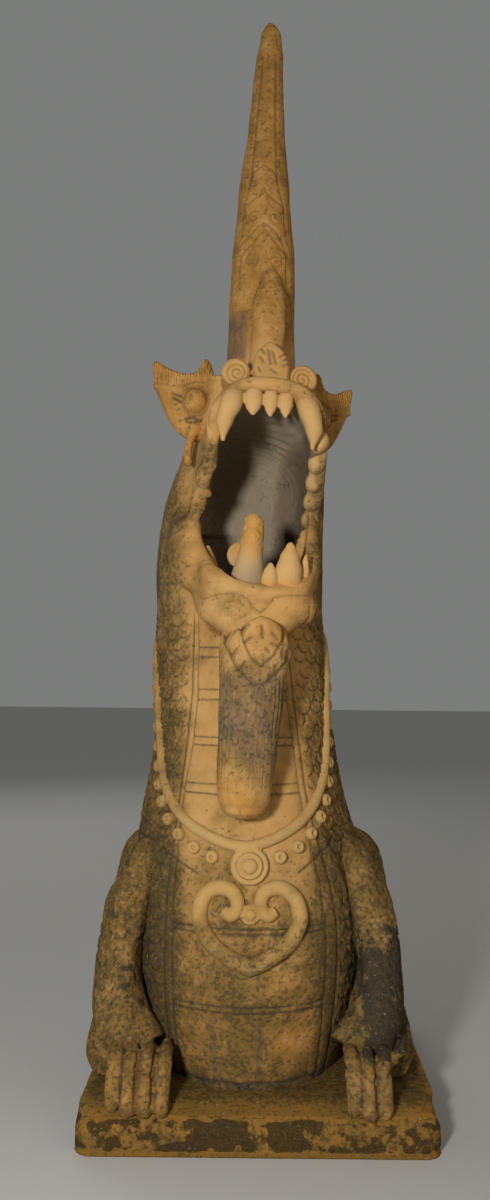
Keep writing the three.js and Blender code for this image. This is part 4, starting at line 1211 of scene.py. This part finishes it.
# The beard. One thick lock hanging from the chin down to the chest, combed with upright strokes and
# ending in a smooth bulb, with two pointed leaves laid over its root.
BEARD_TOP = (0, -92, -88)
BEARD_GRAIN = 1.0
BEARD_LIMIT = 150000
BEARD = [(-6, -84, 296, 24, 13), (-8, -86, 262, 22, 15), (-10, -87, 228, 20, 17), (-12, -89, 204, 18.5, 18.5),
         (-12, -89.5, 194, 17.6, 18), (-12, -90, 188, 15, 15.6), (-12, -90, 184, 11, 11.6),
         (-12, -90, 182, 5, 6)]
LEAVES = [((2, -98, -106), 23, 20, 22, 14), ((3, -106, -99), 15, 18, 17, 12)]
INNER_LEAF = [(1.8, -80.1), (-11.8, -88), (-9.6, -100.6), (-3.7, -110.5), (3.1, -115.8), (11.6, -108.2),
              (17.3, -97.6), (17.3, -87.4), (1.8, -80.1)]
OUTER_LEAF = [(-20.9, -92), (-20.9, -102.5), (-12.7, -118.7), (-1.6, -128.4), (7.4, -126.6), (20.9, -112.8),
              (23.9, -99.6), (25.3, -91.7), (20.3, -86.9)]
LEAF_GOUGES = [
    [(-10.2, -92.4), (-6.6, -89)], [(1.9, -89.7), (3.3, -97.3)], [(9.3, -93.7), (12.8, -97.3)],
    [(-8.3, -100.6), (-4.6, -97.8)], [(9.8, -100.7), (13.1, -101.7)], [(6.1, -104.1), (8.2, -105.9)],
    [(-20.4, -101.2), (-17, -94.5)], [(-15.9, -109.9), (-13, -105.2)], [(-10.1, -118.6), (-7.8, -113.9)],
    [(18.3, -103.9), (18.2, -109.1)], [(22, -91.3), (23.5, -98.3)], [(21.6, -105), (21.7, -110.1)],
    [(13.2, -115.2), (13.5, -120.4)], [(9.4, -121.3), (9.4, -125.1)],
]


def leaf_outline(half_width, top, bottom):
    """A pointed oval: cos across and sin up, its lower half drawn to a point."""
    turn = circle(72)
    down = np.minimum(np.sin(turn), 0)
    across = half_width * np.cos(turn) * (1 - 0.35 * down**2)
    return np.stack([across, np.where(down < 0, bottom, top) * np.sin(turn)], axis=1)


beard_root = (in_head(BEARD_TOP) - (0, 0, SLAB_THICKNESS)) / UNIT
leaf_facing = HEAD_AXES @ (0, -1, -0.1)
beard = worked(rough_piece("beard", [
    limb([(*beard_root, 22, 8), *BEARD], on_slab, sides=48, steps=90),
    *(plate(leaf_outline(wide, top, bottom), depth, *standing(in_head(place), leaf_facing), swell=0.2)
      for place, wide, top, bottom, depth in LEAVES),
]), BEARD_GRAIN)


def beard_relief(points):
    """Upright hair strokes down to the bulb, and wedge gouges along both leaves' edges."""
    across, behind, up = off_head(points).T
    height = above_slab(points)
    u = points[:, 0] / UNIT - np.interp(height, [182, 300], [-12, -6])
    waver = 2.0 * mottle(points * (1, 1, 0.15), 6) + 0.4 * np.sin(height / 9)
    hair = ramp(wave(u + waver, 2.4), 0.2, 0.9) * ramp(mottle(points * (1, 1, 0.12), 4), 0.35, 0.6)
    in_leaf = np.zeros(len(points))
    for (x, _, z), wide, top, bottom, _ in LEAVES:
        reach = np.hypot((across - x) / wide, (up - z) / np.where(up > z, top, bottom))
        in_leaf = np.maximum(in_leaf, ramp(reach, 1.12, 1.04))
    gouged = strokes(across, up, LEAF_GOUGES, 1.3) * in_leaf
    gouged += strokes(across, up, (INNER_LEAF, OUTER_LEAF), 1.1)
    in_front = ramp(behind, -96, -99)
    return hair * (1 - in_leaf * in_front) * ramp(height, 196, 212), gouged * in_front


spot = points_of(beard)
hair, gouges = beard_relief(spot)
press(beard, -0.8 * hair - 1.8 * np.clip(gouges, 0, 1) + uneven(spot, (12, 0.8)))
thinned(beard, BEARD_LIMIT)
spot = points_of(beard)
hair, gouges = beard_relief(spot)
height = above_slab(spot)
coat(
    beard,
    clay_material("beard clay"),
    orange=0.7 * ramp(height + 0.8 * spot[:, 0], 208, 184) + 0.35 * ramp(height, 285, 300),
    patina=0.3 + 0.32 * ramp(height, 190, 232) * ramp(height, 300, 280),
    soot=0.12 + 0.56 * ramp(height + 0.7 * spot[:, 0], 190, 226) * ramp(height, 292, 270),
    # Painted shade in the beard's hair strokes and in the leaves' gouges.
    crevice=np.clip(0.5 * hair + 0.85 * gouges, 0, 1),
)


# The necklace. A smooth band hung from the nape to the chest with a row of drilled beads below it, a
# ringed medallion and a heart-shaped pendant bent from one rolled coil, all pressed on while wet.
COIL_DIAMETER = 11.5
BEAD_DIAMETER = 9.5
BEAD_PITCH = 15.5
BEAD_DROP = 13
BAND_DIAMETER = 8.0
BAND = np.array([
    [-21, 170], [0, 162], [21, 170], [33, 179], [43, 190], [54, 208], [62, 230], [70, 256], [80, 280],
    [95, 302], [130, 326], [180, 335], [230, 326],
], float)
HEART = [(-2, 84), (13, 90.5), (26, 100), (33, 114), (29.5, 128), (20, 134.5), (10.5, 132), (7.5, 124),
         (12, 117), (17, 120)]
HEART_AXIS = 1
BEAD_PROFILE = [(0, -1), (1, -1), (1, 0.25), (0.92, 0.62), (0.6, 0.86), (0.34, 0.8), (0.26, 0.35), (0, 0.3)]
NECKLACE_GRAIN = 0.75
NECKLACE_LIMIT = 150000


def band_height(angle):
    """How high above the slab the band hangs, for a turn round the neck in radians."""
    return eased_rows(BAND, np.abs(np.degrees(angle)))[:, 0]


def column_normal(angle, height):
    """The way out of the body's skin, square to a step round it and a step up it."""
    here = on_column(angle, height)
    return direction(np.cross(on_column(angle + 0.02, height) - here, on_column(angle, height + 1) - here))


def band_shell():
    """A ring round the neck: a circle carried along the band's line."""
    turn = np.linspace(-np.pi, np.pi, 240, endpoint=False)
    line = on_column(turn, band_height(turn))
    run = np.roll(line, -1, axis=0) - np.roll(line, 1, axis=0)
    out = column_normal(turn, band_height(turn))
    up = direction(np.cross(run, out))
    around = circle(16)[None, :, None]
    rings = line[:, None] + BAND_DIAMETER / 2 * (up[:, None] * np.cos(around) + out[:, None] * np.sin(around))
    sides = rings.shape[1]
    row, side = np.meshgrid(np.arange(len(turn)), np.arange(sides), indexing="ij")
    here, beside = row * sides + side, row * sides + (side + 1) % sides
    total = len(turn) * sides
    quads = np.stack([here, beside, (beside + sides) % total, (here + sides) % total], axis=-1)
    return rings.reshape(-1, 3), quads.reshape(-1, 4).tolist()


def bead_shells():
    """Beads at one pitch along the band on each side, each with a hole pricked in its end."""
    made = []
    for hand in (-1, 1):
        turn = hand * np.arange(0, np.radians(100), 0.01)
        height = band_height(turn) - BEAD_DROP
        line = on_column(turn, height)
        travelled = np.concatenate([[0], np.cumsum(np.linalg.norm(np.diff(line, axis=0), axis=1))])
        for due in np.arange(1.5 * BEAD_PITCH, travelled[-1], BEAD_PITCH):
            at = np.searchsorted(travelled, due)
            place = standing(line[at], column_normal(turn[at:at + 1], height[at:at + 1])[0])
            size = BEAD_DIAMETER / 2 / UNIT
            made.append(spun([(reach * size, rise * size) for reach, rise in BEAD_PROFILE], 20, *place))
    return made


def boss_shell(angle, height, profile):
    """A turned boss on the chest: its profile of radius and rise, spun round its own axis."""
    out = column_normal(np.array([angle]), np.array([height]))[0]
    return spun(profile, 64, *standing(on_column(angle, height), out))


MEDALLION = [(0, -5), (13, -5), (13.2, 2), (12, 4.2), (10.6, 4.3), (9.8, 2.6), (9.2, 2.8), (9, 6), (8, 7.2),
             (6.8, 7), (6, 5), (5.4, 5), (5, 8), (3, 9.4), (0, 9.8)]
SMALL_BOSS = [(0, -3), (6.8, -3), (6.8, 1.6), (6, 2.8), (5, 2.8), (4.4, 1.4), (4, 3.4), (2.4, 5), (0, 5.4)]


def pendant_shells():
    """Both halves of the heart, each a coil laid along its path on the chest and tapering to its curl."""
    half = smooth_line([(x, 0, h) for x, h in HEART], 90)
    made = []
    for hand in (-1, 1):
        width = eased_rows(COLUMN, half[:, 2])[:, 2]
        turn = np.arcsin((HEART_AXIS + hand * half[:, 0]) / width)
        line = on_column(turn, half[:, 2]) + 1.5 * UNIT * column_normal(turn, half[:, 2])
        radius = COIL_DIAMETER / 2 * (1 - 0.3 * np.linspace(0, 1, len(line)) ** 2)
        rows = np.column_stack([line, radius / UNIT, radius / UNIT])
        made.append(limb(rows, lambda points: points, (0, -1, 0.01), steps=180))
    return made


necklace = worked(rough_piece("necklace", [
    band_shell(),
    *bead_shells(),
    boss_shell(0.03, 149, MEDALLION),
    boss_shell(0.02, 118, SMALL_BOSS),
    *pendant_shells(),
]), NECKLACE_GRAIN, 2)
spot = points_of(necklace)
press(necklace, uneven(spot, (8, 0.5), (2.2, 0.15)))
thinned(necklace, NECKLACE_LIMIT)
spot = points_of(necklace)
# Darker towards the bottom of the chest: partly patina and lichen, partly painted shade where the light falls
# off downwards.
low_on_chest = ramp(spot[:, 2], 164, 128)
coat(
    necklace,
    clay_material("necklace clay", clay=(0.47, 0.30, 0.11)),
    patina=0.16 + 0.3 * ramp(np.abs(spot[:, 0]), 40, 75) + 0.45 * low_on_chest,
    lichen=0.36 * low_on_chest,
    crevice=0.2 * ramp(mottle(spot, 5), 0.5, 0.8),
)


# The floor, the light and the camera. A plain pale floor, a key light up to the left of the camera as
# in the photograph and an even sky, and a level camera in front at the height of the neck.
CAMERA_BACK = 0.720
CAMERA_HEIGHT = 0.315
FOCAL_PIXELS, FRAME_LONG_SIDE = 942, 1200
SENSOR = 36.0
HORIZON_PIXELS_LOW, AXIS_PIXELS_RIGHT = 65, 18.2
CAMERA_ROLL = 0.0105
FLOOR_HALF = 6.0
AIM = (0, 0, 0.38)

floor_mesh = bpy.data.meshes.new("floor")
corners = [(FLOOR_HALF * x, FLOOR_HALF * y, 0) for x, y in ((-1, -1), (1, -1), (1, 1), (-1, 1))]
floor_mesh.from_pydata(corners, [], [(0, 1, 2, 3)])
floor = bpy.data.objects.new("floor", floor_mesh)
bpy.context.scene.collection.objects.link(floor)
floor_paint = bpy.data.materials.new("pale floor")
floor_paint.use_nodes = True
floor_surface = floor_paint.node_tree.nodes["Principled BSDF"]
floor_surface.inputs["Base Color"].default_value = (0.52, 0.51, 0.48, 1)
floor_surface.inputs["Roughness"].default_value = 0.8
floor_mesh.materials.append(floor_paint)
floor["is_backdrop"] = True

world = bpy.data.worlds.new("pale sky")
world.use_nodes = True
sky = world.node_tree.nodes["Background"]
sky.inputs["Color"].default_value = (0.80, 0.82, 0.80, 1)
sky.inputs["Strength"].default_value = 0.25
bpy.context.scene.world = world
bpy.context.scene.view_settings.view_transform = "Standard"

for name, place, width, power, tint in (
    ("key light", (-0.20, -0.74, 0.38), 0.07, 4.4, (1, 1, 1)),
    ("fill light", (0.9, -0.9, 0.7), 0.8, 2.4, (1, 0.82, 0.58)),
    ("back light", (-0.6, 1.3, 1.1), 0.9, 4.0, (1, 1, 1)),
):
    lamp = bpy.data.lights.new(name, "AREA")
    lamp.energy, lamp.size, lamp.color = power, width, tint
    light = bpy.data.objects.new(name, lamp)
    bpy.context.scene.collection.objects.link(light)
    light.location = place
    aim = np.array(AIM) - place
    light.rotation_euler = (np.arctan2(np.hypot(aim[0], aim[1]), -aim[2]), 0, np.arctan2(-aim[0], aim[1]))

camera_data = bpy.data.cameras.new("camera")
camera_data.sensor_width = SENSOR
camera_data.lens = SENSOR * FOCAL_PIXELS / FRAME_LONG_SIDE
camera_data.shift_x = -AXIS_PIXELS_RIGHT / FRAME_LONG_SIDE
camera_data.shift_y = HORIZON_PIXELS_LOW / FRAME_LONG_SIDE
camera = bpy.data.objects.new("camera", camera_data)
camera.location = (0, -CAMERA_BACK, CAMERA_HEIGHT)
camera.rotation_euler = (np.pi / 2, -CAMERA_ROLL, 0)
bpy.context.scene.collection.objects.link(camera)
bpy.context.scene.camera = camera

low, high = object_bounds()
